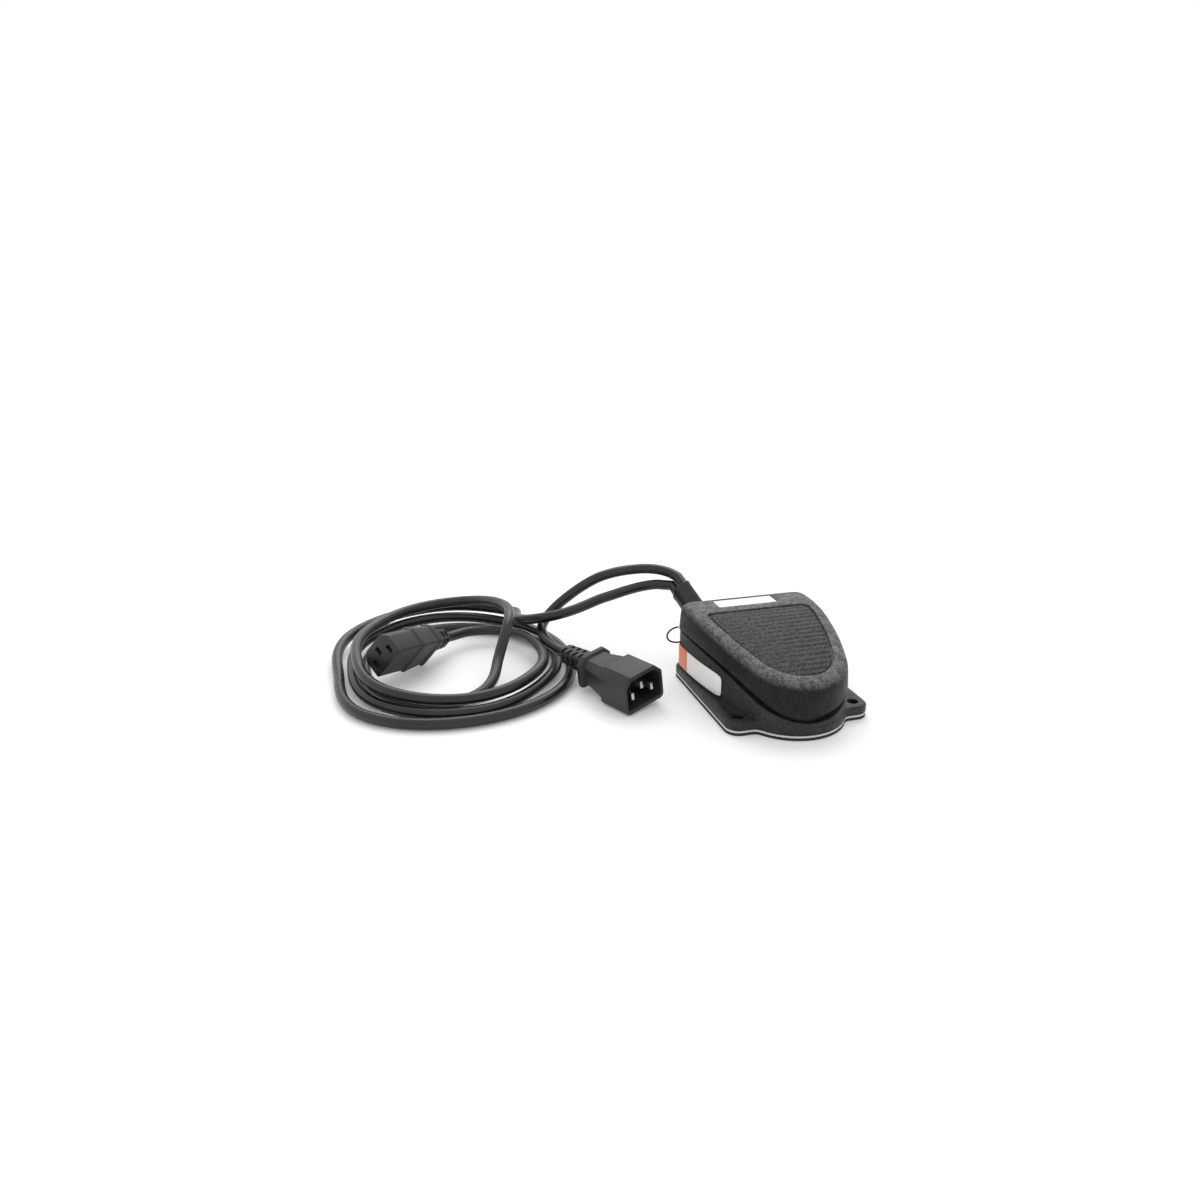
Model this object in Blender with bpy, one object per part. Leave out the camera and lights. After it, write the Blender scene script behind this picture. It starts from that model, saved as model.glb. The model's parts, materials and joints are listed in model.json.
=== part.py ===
"""Cast foot switch with a treadle, a supply cord with a plug and a load cord with a socket.

Units are metres, +Z is up. The toe points to -Y, the heel and its cords to +Y, and the switch is
symmetric about X = 0. The origin is on the underside of the rubber pad, half way along the base.
"""

import bpy
import bmesh
from math import asin, atan2, cos, pi, radians, sin, sqrt, tan
from mathutils import Matrix, Vector

# ---------------------------------------------------------------------------------------------
# Driving dimensions
# ---------------------------------------------------------------------------------------------

GAP = 0.0003                     # seam between pieces that touch

# Plan of the castings
HALF_LENGTH = 0.0496             # base, from the middle to toe or heel
TOE_RADIUS = 0.0293              # rounded toe of the flange
WALL_INSET = 0.0007              # wall inside the flange at the toe
HEEL_INSET = 0.0011              # wall inside the flange at the heel
HEEL_CORNER = 0.0080             # wall's heel corner radius
FLANGE_HALF_WIDTH = 0.0402
FLANGE_CORNER = 0.0070

# Mounting ears
EAR_HOLE_Y = -0.0280
EAR_HOLE_DIAMETER = 0.0060
EAR_RADIUS = 0.0072
EAR_FILLET = 0.0050

# Layers under the base
PAD_THICKNESS = 0.0011
FOAM_THICKNESS = 0.0011
BASE_BOTTOM = PAD_THICKNESS + FOAM_THICKNESS + 2 * GAP
FLANGE_THICKNESS = 0.0045
FLANGE_EDGE = 0.0008
FOAM_INSET = 0.0002
FLOOR_THICKNESS = 0.0030

# Base wall and its rim
WALL_THICKNESS = 0.0052
RIM_LEDGE = 0.0038               # ledge outside the upstand
UPSTAND_HEIGHT = 0.0050
RIM_HEEL_HEIGHT = 0.0290
RIM_DROP = 0.0201
RIM_CURVE = 2.8

# Treadle cover
COVER_OVERHANG = 0.0006
COVER_THICKNESS = 0.0024
COVER_DRAFT = 0.0006
COVER_TOP_THICKNESS = 0.0042
COVER_HEEL_HEIGHT = 0.0445
COVER_DROP = 0.0142
COVER_CURVE = 1.35
HEEL_BAND_LENGTH = 0.0215        # flat band on top, ahead of the wall's heel face
EDGE_ROUND = 0.0046
EDGE_STEPS = 4
SKIRT_TOP_DROP = 0.0055          # skirt's upper end, below the cover's crest
HEEL_GAP = 0.0014
PRESS_ANGLE = 0.040              # treadle's travel in radians
TREAD_BORDER = 0.0074
TREAD_HEEL_DISTANCE = 0.0225     # tread's back edge, ahead of the wall's heel face
TREAD_CORNER = 0.0040
TREAD_DEPTH = 0.0016
PLATE_X = -0.0015
PLATE_RECESS_WIDTH = 0.0360
PLATE_RECESS_LENGTH = 0.0118
PLATE_HEEL_DISTANCE = 0.0045
PLATE_RECESS_DEPTH = 0.0012
PLATE_THICKNESS = 0.0005
PLATE_MARGIN = 0.0004

# Side label, on the wall at -X
LABEL_BOTTOM = 0.0088
LABEL_HEIGHT = 0.0122
LABEL_THICKNESS = 0.0003
LABEL_HEEL_DISTANCE = 0.0067
ORANGE_LENGTH = 0.0123
WHITE_LENGTH = 0.0369
LABEL_CORNER = 0.0030
LABEL_STATIONS = (0.1, 0.35)     # places round its corner, as shares of the corner's radius
LABEL_END_CUT = 0.0029           # most that a rounded end loses above and below

# Hinge
PIVOT_HEEL_DISTANCE = 0.0125     # pin, ahead of the wall's heel face
PIVOT_DROP = 0.0120              # pin, below the cover's heel band
PIN_RADIUS = 0.0025
PIN_END_GAP = 0.0027             # pin's end to the wall's inner side
PIN_TAIL = 0.00195               # pin beyond the base's lugs
LUG_THICKNESS = 0.0045
LUG_RADIUS = 0.0052
LUG_GAP = 0.0008                 # between a base lug and its cover lug
BORE_CLEARANCE = 0.0003
CLIP_RADIUS = 0.0044
CLIP_THICKNESS = 0.0008
CLIP_GROOVE = 0.0007

# Return spring
SPRING_ARM = 0.0600              # spring, ahead of the pin
SPRING_TOP = 0.0270
SPRING_RADIUS = 0.0065
SPRING_WIRE = 0.0014
SPRING_TURNS = 6
SPRING_POINTS = 10
SEAT_RADIUS = 0.0095
SPIGOT_RADIUS = 0.0046
SPIGOT_HEIGHT = 0.0050
SPIGOT_ROOT = 0.0010             # spigot's length inside the seat that carries it
POST_ROOT = 0.0013               # post's length inside the cover's top

# Snap switch, its lever and the screw that works it
SWITCH_X = 0.0110
SWITCH_ARM = 0.0340              # switch's middle, ahead of the pin
SWITCH_WIDTH = 0.0103
SWITCH_LENGTH = 0.0278
SWITCH_HEIGHT = 0.0159
SWITCH_FLOOR_SHARE = 0.69        # share of the spare height that is left below the switch
SWITCH_HOLE_SPACING = 0.0222
SWITCH_HOLE_HEIGHT = 0.0028
PLUNGER_RADIUS = 0.0015
PLUNGER_OFFSET = 0.0055          # plunger, ahead of the lever's hinge
PLUNGER_LENGTH_INSIDE = 0.0030
PLUNGER_SPARE = 0.0012           # bore below the plunger
LEVER_WIDTH = 0.0050
LEVER_THICKNESS = 0.0006
LEVER_LENGTH = 0.0250
LEVER_HINGE_INSET = 0.0030
LEVER_EYE_RADIUS = 0.0012
LEVER_EAR_THICKNESS = 0.0012
LEVER_EAR_WALL = 0.0008
LEVER_SPARE_ANGLE = 0.010        # left over the case when fully pressed
TERMINAL_WIDTH = 0.0063
TERMINAL_THICKNESS = 0.0008
TERMINAL_LENGTH = 0.0075
TERMINAL_HEIGHTS = (0.0032, 0.0080, 0.0128)
BRACKET_THICKNESS = 0.0015
BRACKET_FOOT = 0.0110
BRACKET_RISE = 0.0100
BRACKET_SCREW_SPACING = 0.0160
SCREW_BITE = 0.0020              # screw thread in the floor
M3_RADIUS = 0.0015
M3_HEAD_RADIUS = 0.0028
M3_HEAD_HEIGHT = 0.0018
M4_RADIUS = 0.0020
M4_HEAD_RADIUS = 0.0038
M4_HEAD_HEIGHT = 0.0024
M4_NUT_FLAT = 0.0070
M4_NUT_HEIGHT = 0.0030
HEAD_SIDE_SHARE = 0.5            # straight side of a pan head, as a share of its height
HEAD_CROWN_SHARE = 0.7           # flat crown of a pan head, as a share of its radius
ACTUATOR_ARM = 0.0420            # adjusting screw, ahead of the pin
ACTUATOR_REACH = 0.0007          # screw tip below its nut
ACTUATOR_BOSS_RADIUS = 0.0045
ACTUATOR_COVER = 0.0014          # metal left over the screw's hole

# Earth screw
EARTH_X = 0.0060
EARTH_HEEL_DISTANCE = 0.0125
EARTH_BOSS_RADIUS = 0.0045
EARTH_BOSS_TOP = 0.0093
EARTH_LUG_RADIUS = 0.0036
EARTH_LUG_THICKNESS = 0.0008
EARTH_BARREL_WIDTH = 0.0042
EARTH_BARREL_END = -0.0030
EARTH_SCREW_LENGTH = 0.0042

# Cords and the sleeve at the heel
CORD_DIAMETER = 0.0063
CORD_PAIR_OFFSET = 0.0034        # each cord's centre from the sleeve's axis
SLEEVE_ROOT_PLACE = (-0.0153, 0.0010, 0.0200)    # x, beyond the wall's heel face, z
SLEEVE_TIP_PLACE = (-0.0230, 0.0370, 0.0380)
SLEEVE_ROLL = radians(18)
SLEEVE_ROOT_SIZE = (0.0049, 0.0074)
SLEEVE_TIP_SIZE = (0.0043, 0.0074)
SLEEVE_BEAD = 0.0010
SLEEVE_COLLAR_END = -0.0120      # collar's face towards the wall
SLEEVE_COLLAR_THICKNESS = 0.0020
SLEEVE_COLLAR_RIM = 0.0012

# Plug, in its own frame: +Z from its face to its cord, +X along its line and neutral pins, +Y to earth
PLUG_FACE = Vector((-0.0723, 0.0063, 0.0127))
PLUG_AXIS = Vector((-0.428, 0.904, 0.0))
PLUG_ROLL = radians(8)
PLUG_HALF_WIDTH = 0.01375
PLUG_HALF_HEIGHT = 0.01075
PLUG_CHAMFER = 0.0050
PLUG_CORNER = 0.0015
PLUG_SHROUD_LENGTH = 0.0205
PLUG_CAVITY_SIZE = (0.01215, 0.0084)
PLUG_CAVITY_DEPTH = 0.0165
PLUG_CAVITY_CHAMFER = 0.0045
PLUG_GRIP_SIZE = (0.0125, 0.0090)
PLUG_NECK_SIZE = (0.0095, 0.0075)
PLUG_NECK_AT = 0.0385
PLUG_COLLAR_SIZE = (0.01175, 0.00925)
PLUG_COLLAR_LENGTH = 0.0040
PIN_SPACING = 0.0140             # line to neutral
EARTH_OFFSET = 0.0040            # earth, off the line and neutral row
PIN_SIZE = (0.0020, 0.0040)
PIN_SETBACK = 0.0015
PIN_ROOT = 0.0040

# Socket, in its own frame, set out like the plug's
SOCKET_FACE = Vector((-0.2045, 0.0746, 0.0209))
SOCKET_AXIS = Vector((0.716, 0.675, -0.175))
SOCKET_EARTH_SIDE = Vector((-0.455, 0.642, 0.617))
SOCKET_HALF_WIDTH = 0.01175
SOCKET_HALF_HEIGHT = 0.0080
SOCKET_CHAMFER = 0.0045
SOCKET_CORNER = 0.0012
SOCKET_GRIP_CORNER = 0.0030
SOCKET_NOSE_LENGTH = 0.0190
SOCKET_GRIP_SIZE = (0.0128, 0.0090)
SOCKET_NECK_SIZE = (0.0110, 0.0078)
SOCKET_NECK_AT = 0.0355
SOCKET_COLLAR_SIZE = (0.0124, 0.0090)
SOCKET_COLLAR_LENGTH = 0.0040
SLOT_SIZE = (0.0026, 0.0048)
SLOT_DEPTH = 0.0120
CONTACT_SETBACK = 0.0030
CONTACT_SIZE = (0.0019, 0.0040)

# Ribbed strain reliefs of the plug and the socket
RELIEF_LENGTH = 0.0232
SOCKET_RELIEF_LENGTH = 0.0165
RELIEF_ROOT_RADIUS = 0.0060
RELIEF_TIP_RADIUS = 0.0043
RELIEF_GROOVE = 0.0009
RELIEF_RIBS = 5
RELIEF_RIB_SHARE = 0.6           # rib's share of its pitch, the rest being groove

# The supply cord's way from the sleeve to the plug, between its two straight ends
SUPPLY_ROUTE = (
    (-0.0253, 0.0946, 0.0449), (-0.0303, 0.1003, 0.0458), (-0.0380, 0.1045, 0.0462),
    (-0.0475, 0.1063, 0.0459), (-0.0575, 0.1072, 0.0449), (-0.0675, 0.1082, 0.0424),
    (-0.0775, 0.1102, 0.0370), (-0.0860, 0.1124, 0.0306), (-0.0940, 0.1134, 0.0240),
    (-0.1010, 0.1108, 0.0184), (-0.1056, 0.1042, 0.0149), (-0.1070, 0.0955, 0.0132),
    (-0.1064, 0.0860, 0.0127),
)

# The load cord's way from the sleeve to its coil
LOAD_ROUTE = (
    (-0.0282, 0.0950, 0.0376), (-0.0338, 0.0986, 0.0374), (-0.0420, 0.1002, 0.0365),
    (-0.0515, 0.0998, 0.0352), (-0.0610, 0.0992, 0.0333), (-0.0710, 0.0985, 0.0312),
    (-0.0800, 0.0976, 0.0286), (-0.0895, 0.0970, 0.0262), (-0.0985, 0.0982, 0.0240),
    (-0.1070, 0.1023, 0.0216), (-0.1134, 0.1103, 0.0184), (-0.1166, 0.1210, 0.0155),
)

# The coil lies about COIL_CENTRE. Each loop goes from its right side round by the back, the left
# and the front, and is given every eighth of a turn by its reach from the centre and its height.
COIL_CENTRE = (-0.1610, 0.0890)
COIL_POINTS_PER_LOOP = 24
COIL_START = 46                  # degrees round the first loop
COIL_END = 4 * 360 + 70          # degrees, shortly before the socket's strain relief
COIL_REACH = (
    (0.058, 0.066, 0.077, 0.078, 0.067, 0.078, 0.0755, 0.0715),
    (0.066, 0.067, 0.068, 0.065, 0.059, 0.066, 0.0685, 0.060),
    (0.059, 0.057, 0.0555, 0.055, 0.052, 0.0535, 0.0495, 0.030),
    (0.032, 0.0465, 0.070, 0.062, 0.0565, 0.0625, 0.0625, 0.057),
    (0.0475, 0.046, 0.0265, 0.005),
)
COIL_HEIGHT = (
    (0.0210, 0.0140, 0.0115, 0.0080, 0.0040, 0.0034, 0.0034, 0.0034),
    (0.0034, 0.0050, 0.0075, 0.0070, 0.0060, 0.0045, 0.0050, 0.0048),
    (0.0034, 0.0036, 0.0045, 0.0038, 0.0036, 0.0036, 0.0038, 0.0120),
    (0.0270, 0.0265, 0.0165, 0.0150, 0.0150, 0.0120, 0.0100, 0.0120),
    (0.0115, 0.0085, 0.0100, 0.0090),
)

# Inner leads. Each starts beside its cord's middle, at (x, y) in the sleeve's frame, and follows
# its route of x, distance from the wall's heel face and z, up to what takes it; the upper cord
# brings the supply and the lower one feeds the load.
LEAD_RADIUS = 0.0009
LEAD_SPACING = 0.0022            # two leads side by side
LEAD_APPROACH = 0.0025           # straight end before a terminal
TAIL_LENGTH = 0.0040
LEADS = {
    1: (
        ("live", -0.0012, 0.0007, ((-0.0085, -0.0210, 0.0148), (-0.0020, -0.0223, 0.0160),
                                   (0.0050, -0.0205, 0.0177), (0.0098, -0.0197, 0.0180))),
        ("neutral", 0.0012, 0.0007, ((-0.0150, -0.0203, 0.0140), (-0.0190, -0.0200, 0.0116),
                                     (-0.0214, -0.0213, 0.0099))),
        ("earth", 0.0, -0.0014, ((-0.0100, -0.0187, 0.0127), (-0.0078, -0.0175, 0.0125),
                                 (-0.0064, -0.0148, 0.0114))),
    ),
    -1: (
        ("live", -0.0012, 0.0007, ((-0.0085, -0.0175, 0.0092), (-0.0030, -0.0190, 0.0092),
                                   (0.0040, -0.0189, 0.0100), (0.0095, -0.0185, 0.0122))),
        ("neutral", 0.0012, 0.0007, ((-0.0143, -0.0170, 0.0086), (-0.0180, -0.0173, 0.0084),
                                     (-0.0220, -0.0183, 0.0086), (-0.0241, -0.0215, 0.0092))),
        ("earth", 0.0, -0.0014, ((-0.0126, -0.0167, 0.0070), (-0.0100, -0.0175, 0.0070),
                                 (-0.0075, -0.0155, 0.0074), (-0.0058, -0.0129, 0.0086))),
    ),
}
SPLICE_PLACE = (-0.0230, -0.0245, 0.0094)        # its mouth, given as a lead's point is
SPLICE_LEAD_DEPTH = 0.0037
SPLICE_RADIUS = 0.0031
SPLICE_WALL = 0.0008
SPLICE_LENGTH = 0.0140
SPLICE_DEPTH = 0.0060
SPLICE_SHOULDER_RADIUS = 0.0023
SPLICE_TIP_RADIUS = 0.0009

# Bonding wire, from the cover's skirt to a hole in the wall
BONDING_RADIUS = 0.0005
BONDING_ROUTE = (                # out from the wall's side, behind its corner's start, over the rim
    (0.0011, 0.0015, 0.0023), (0.0041, 0.0013, 0.0019), (0.0071, 0.0011, -0.0001),
    (0.0080, 0.0011, -0.0026), (0.0065, 0.0013, -0.0053), (0.0034, 0.0015, -0.0068),
    (0.0001, 0.0017, -0.0072), (-0.0019, 0.0017, -0.0072),
)

# Looks: name, colour, roughness, metallic
STEEL = ("steel", (0.55, 0.55, 0.54), 0.35, 1.0)
BRASS = ("brass", (0.66, 0.64, 0.60), 0.35, 1.0)        # nickel-plated
BLACK_CASTING = ("black_casting", (0.018, 0.018, 0.019), 0.55, 0.0)
BLACK_RUBBER = ("black_rubber", (0.015, 0.015, 0.015), 0.7, 0.0)
BLACK_VINYL = ("black_vinyl", (0.016, 0.016, 0.017), 0.5, 0.0)
WHITE_FOAM = ("white_foam", (0.8, 0.8, 0.8), 0.8, 0.0)
WHITE_LABEL = ("white_label", (0.85, 0.85, 0.83), 0.5, 0.0)
ORANGE_LABEL = ("orange_label", (0.86, 0.24, 0.11), 0.5, 0.0)
LIVE_LEAD = ("brown_lead", (0.20, 0.08, 0.03), 0.5, 0.0)
NEUTRAL_LEAD = ("blue_lead", (0.03, 0.10, 0.40), 0.5, 0.0)
EARTH_LEAD = ("green_lead", (0.10, 0.35, 0.08), 0.5, 0.0)
LEAD_LOOKS = {"live": LIVE_LEAD, "neutral": NEUTRAL_LEAD, "earth": EARTH_LEAD}

# ---------------------------------------------------------------------------------------------
# Sizes that follow from the driving dimensions
# ---------------------------------------------------------------------------------------------

FLOOR_TOP = BASE_BOTTOM + FLOOR_THICKNESS
FLANGE_TOP = BASE_BOTTOM + FLANGE_THICKNESS
TOE_CENTRE_Y = TOE_RADIUS - HALF_LENGTH
WALL_TOE_RADIUS = TOE_RADIUS - WALL_INSET
WALL_REAR = HALF_LENGTH - HEEL_INSET
WALL_HALF_WIDTH = FLANGE_HALF_WIDTH - HEEL_INSET
HEEL_CENTRE_Y = WALL_REAR - HEEL_CORNER
SIDE_ANGLE = 2 * atan2(WALL_HALF_WIDTH - WALL_TOE_RADIUS, HEEL_CENTRE_Y - TOE_CENTRE_Y)
SIDE_RADIUS = (HEEL_CENTRE_Y - TOE_CENTRE_Y + WALL_TOE_RADIUS * sin(SIDE_ANGLE)) / sin(SIDE_ANGLE)
EAR_HOLE_X = FLANGE_HALF_WIDTH - EAR_RADIUS
COVER_SLOPE_START = WALL_REAR - HEEL_BAND_LENGTH
TREAD_BACK = WALL_REAR - TREAD_HEEL_DISTANCE
PLATE_RECESS_BACK = WALL_REAR - PLATE_HEEL_DISTANCE
PLATE_RECESS_FRONT = PLATE_RECESS_BACK - PLATE_RECESS_LENGTH
LABEL_BACK = WALL_REAR - LABEL_HEEL_DISTANCE
LABEL_SEAM = LABEL_BACK - ORANGE_LENGTH
LABEL_FRONT = LABEL_SEAM - WHITE_LENGTH
PIVOT_Y = WALL_REAR - PIVOT_HEEL_DISTANCE
PIVOT_Z = COVER_HEEL_HEIGHT - PIVOT_DROP
PIN_HALF_LENGTH = WALL_HALF_WIDTH - WALL_THICKNESS - PIN_END_GAP
BASE_LUG_X = PIN_HALF_LENGTH - PIN_TAIL - LUG_THICKNESS / 2
COVER_LUG_X = BASE_LUG_X - LUG_THICKNESS - LUG_GAP
SPRING_Y = PIVOT_Y - SPRING_ARM
SWITCH_Y = PIVOT_Y - SWITCH_ARM
ACTUATOR_Y = PIVOT_Y - ACTUATOR_ARM
EARTH_Y = WALL_REAR - EARTH_HEEL_DISTANCE
CORD_RADIUS = CORD_DIAMETER / 2
BRACKET_SCREW_X = SWITCH_X - SWITCH_WIDTH / 2 - GAP - BRACKET_THICKNESS - BRACKET_FOOT / 2

# ---------------------------------------------------------------------------------------------
# Outlines, as lists of (x, y)
# ---------------------------------------------------------------------------------------------

def arc(centre, radius, start, end, steps):
    """Points along an arc, both ends included; angles in radians."""
    angles = [start + (end - start) * i / steps for i in range(steps + 1)]
    return [(centre[0] + radius * cos(a), centre[1] + radius * sin(a)) for a in angles]


def mirrored(half):
    """A closed outline from its right half, which runs from the toe's middle to the heel."""
    return half + [(-x, y) for x, y in reversed(half[1:])]


def wall_outline(inset=0.0, back=None, back_corner=0.0):
    """Plan of the wall, moved inwards by inset, or cut off by a straight back edge."""
    side_centre = (WALL_HALF_WIDTH - SIDE_RADIUS, HEEL_CENTRE_Y)
    half = arc((0.0, TOE_CENTRE_Y), WALL_TOE_RADIUS - inset, -pi / 2, -SIDE_ANGLE, 9)
    radius = SIDE_RADIUS - inset
    if back is None:
        corner_centre = (WALL_HALF_WIDTH - HEEL_CORNER, HEEL_CENTRE_Y)
        half += arc(side_centre, radius, -SIDE_ANGLE, 0.0, 7)[1:]
        half += arc(corner_centre, HEEL_CORNER - inset, 0.0, pi / 2, 5)[1:]
    else:
        end = asin((back - back_corner - HEEL_CENTRE_Y) / radius)
        half += arc(side_centre, radius, -SIDE_ANGLE, end, 6)[1:]
        corner_x = half[-1][0] - back_corner
        half += arc((corner_x, back - back_corner), back_corner, 0.0, pi / 2, 4)[1:]
    return mirrored(half)


def flange_outline(inset=0.0):
    """Plan of the flange with its two ears, moved inwards by inset."""
    ear_front = EAR_HOLE_Y - EAR_RADIUS
    fillet_y = ear_front - EAR_FILLET
    reach = TOE_RADIUS + EAR_FILLET
    fillet_x = sqrt(reach ** 2 - (fillet_y - TOE_CENTRE_Y) ** 2)
    meet = atan2(fillet_y - TOE_CENTRE_Y, fillet_x)
    side = FLANGE_HALF_WIDTH
    half = arc((0.0, TOE_CENTRE_Y), TOE_RADIUS - inset, -pi / 2, meet, 7)
    half += arc((fillet_x, fillet_y), EAR_FILLET + inset, meet + pi, pi / 2, 5)[1:]
    half += arc((EAR_HOLE_X, EAR_HOLE_Y), EAR_RADIUS - inset, -pi / 2, 0.0, 6)
    half += arc((side - FLANGE_CORNER, HALF_LENGTH - FLANGE_CORNER), FLANGE_CORNER - inset,
                0.0, pi / 2, 5)
    return mirrored(half)


def oval(minor, major, steps=20):
    """A stadium outline: half its width is minor (x), half its length is major (y)."""
    straight = major - minor
    upper = arc((0.0, straight), minor, 0.0, pi, steps // 2)
    lower = arc((0.0, -straight), minor, pi, 2 * pi, steps // 2)
    return upper + lower


def chamfered(half_width, half_height, chamfer, corner):
    """A rectangle with its two upper corners chamfered and its lower two rounded."""
    x, y = half_width, half_height
    points = [(x, y - chamfer), (x - chamfer, y), (chamfer - x, y), (-x, y - chamfer)]
    points += arc((corner - x, corner - y), corner, pi, 1.5 * pi, 3)
    points += arc((x - corner, corner - y), corner, 1.5 * pi, 2 * pi, 3)
    return points


def circle(radius, steps=24):
    """A circle's outline."""
    return [(radius * cos(2 * pi * i / steps), radius * sin(2 * pi * i / steps))
            for i in range(steps)]


# ---------------------------------------------------------------------------------------------
# Heights that change along the length
# ---------------------------------------------------------------------------------------------

def rim_height(y):
    """Top of the base wall's outer ledge at y."""
    share = (WALL_REAR - y) / (WALL_REAR + WALL_TOE_RADIUS - TOE_CENTRE_Y)
    return RIM_HEEL_HEIGHT - RIM_DROP * max(share, 0.0) ** RIM_CURVE


def skirt_height(y):
    """Lower edge of the treadle cover at y: its gap over the rim closes as it is pressed."""
    return rim_height(y) + HEEL_GAP + PRESS_ANGLE * (PIVOT_Y - y)


def cover_height(y):
    """Top of the treadle cover at y, without its rounded edge."""
    share = (COVER_SLOPE_START - y) / (COVER_SLOPE_START + HALF_LENGTH)
    return COVER_HEEL_HEIGHT - COVER_DROP * max(share, 0.0) ** COVER_CURVE


# Heights inside that follow from the cover's: the lever and the adjusting nut stand on the switch,
# and what height is then spare is shared between the floor and the cover.
HINGE_LIFT = LEVER_EYE_RADIUS + GAP
LEVER_HINGE_Y = SWITCH_Y + SWITCH_LENGTH / 2 - LEVER_HINGE_INSET
LEVER_RATIO = (PIVOT_Y - ACTUATOR_Y) / (LEVER_HINGE_Y - ACTUATOR_Y)
LEVER_REST_ANGLE = PRESS_ANGLE * LEVER_RATIO + LEVER_SPARE_ANGLE
LEVER_RISE = (LEVER_HINGE_Y - ACTUATOR_Y) * tan(LEVER_REST_ANGLE)
TIP_HEIGHT = HINGE_LIFT + LEVER_THICKNESS / 2 + LEVER_RISE + GAP
SWITCH_STACK = TIP_HEIGHT + ACTUATOR_REACH + M4_NUT_HEIGHT + GAP
SWITCH_ROOM = cover_height(ACTUATOR_Y) - COVER_TOP_THICKNESS - FLOOR_TOP
SPARE_HEIGHT = SWITCH_ROOM - SWITCH_HEIGHT - SWITCH_STACK
SWITCH_BOTTOM = FLOOR_TOP + SWITCH_FLOOR_SHARE * SPARE_HEIGHT
SWITCH_TOP = SWITCH_BOTTOM + SWITCH_HEIGHT
LEVER_HINGE_Z = SWITCH_TOP + HINGE_LIFT
ACTUATOR_TIP = SWITCH_TOP + TIP_HEIGHT
ACTUATOR_NUT_BOTTOM = ACTUATOR_TIP + ACTUATOR_REACH
ACTUATOR_BOSS_BOTTOM = ACTUATOR_NUT_BOTTOM + M4_NUT_HEIGHT + GAP


# ---------------------------------------------------------------------------------------------
# Solids
# ---------------------------------------------------------------------------------------------

def material(look):
    """The shared material of one look: name, colour, roughness and metallic value."""
    name, colour, roughness, metallic = look
    found = bpy.data.materials.get(name)
    if found:
        return found
    made = bpy.data.materials.new(name)
    made.use_nodes = True
    shader = made.node_tree.nodes["Principled BSDF"]
    shader.inputs["Base Color"].default_value = (*colour, 1.0)
    shader.inputs["Roughness"].default_value = roughness
    shader.inputs["Metallic"].default_value = metallic
    return made


def add_object(name, bm, look=None, matrix=None):
    """A mesh object from bm, with its faces turned outwards."""
    if matrix:
        bm.transform(matrix)
    bmesh.ops.recalc_face_normals(bm, faces=bm.faces)
    mesh = bpy.data.meshes.new(name)
    bm.to_mesh(mesh)
    bm.free()
    made = bpy.data.objects.new(name, mesh)
    bpy.context.scene.collection.objects.link(made)
    if look:
        mesh.materials.append(material(look))
    return made


def loft(name, rings, look=None, matrix=None, ladder=False):
    """A closed solid through rings of equal counts of (x, y, z).

    Its ends are single faces, or, as a ladder, strips from side to side of a mirrored outline.
    """
    bm = bmesh.new()
    rows = [[bm.verts.new(point) for point in ring] for ring in rings]
    count = len(rows[0])
    for lower, upper in zip(rows, rows[1:]):
        for i in range(count):
            j = (i + 1) % count
            bm.faces.new((lower[i], lower[j], upper[j], upper[i]))
    for row in (rows[0], rows[-1]):
        if not ladder:
            bm.faces.new(row)
            continue
        bm.faces.new((row[0], row[1], row[-1]))
        for i in range(1, count // 2):
            bm.faces.new((row[i], row[i + 1], row[-i - 1], row[-i]))
    return add_object(name, bm, look, matrix)


def lifted(outline, height):
    """A ring from an outline, at one height or at the height that a function gives for y."""
    if callable(height):
        return [(x, y, height(y)) for x, y in outline]
    return [(x, y, height) for x, y in outline]


def prism(name, outline, bottom, top, look=None, matrix=None, ladder=False):
    """An outline extruded from one height to another."""
    return loft(name, [lifted(outline, bottom), lifted(outline, top)], look, matrix, ladder)


def turned(name, profile, look=None, matrix=None, steps=24):
    """A solid turned about Z from (radius, z) pairs that run up its outer side."""
    return loft(name, [lifted(circle(radius, steps), z) for radius, z in profile], look, matrix)


def ring_solid(name, inner, outer, bottom, top, look=None, matrix=None, steps=20):
    """A washer about Z."""
    bm = bmesh.new()
    corners = ((inner, bottom), (outer, bottom), (outer, top), (inner, top))
    rows = [[bm.verts.new((r * x, r * y, z)) for x, y in circle(1.0, steps)] for r, z in corners]
    for lower, upper in zip(rows, rows[1:] + rows[:1]):
        for i in range(steps):
            j = (i + 1) % steps
            bm.faces.new((lower[i], lower[j], upper[j], upper[i]))
    return add_object(name, bm, look, matrix)


def box(name, low, high, look=None, matrix=None):
    """A box between two corners."""
    outline = [(low[0], low[1]), (high[0], low[1]), (high[0], high[1]), (low[0], high[1])]
    return prism(name, outline, low[2], high[2], look, matrix)


def across(x, y, z):
    """A matrix that lays a local Z axis along +X, with local X up, about a point."""
    turn = Matrix(((0, 0, 1), (0, 1, 0), (-1, 0, 0))).to_4x4()
    return Matrix.Translation((x, y, z)) @ turn


def at(x, y, z=0.0):
    """A matrix that moves to a point."""
    return Matrix.Translation((x, y, z))


def frame(origin, axis, up):
    """A matrix whose local Z is axis and whose local Y is as near to up as it can be."""
    z_axis = axis.normalized()
    y_axis = (up - up.dot(z_axis) * z_axis).normalized()
    x_axis = y_axis.cross(z_axis)
    return Matrix.Translation(origin) @ Matrix((x_axis, y_axis, z_axis)).transposed().to_4x4()


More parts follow.
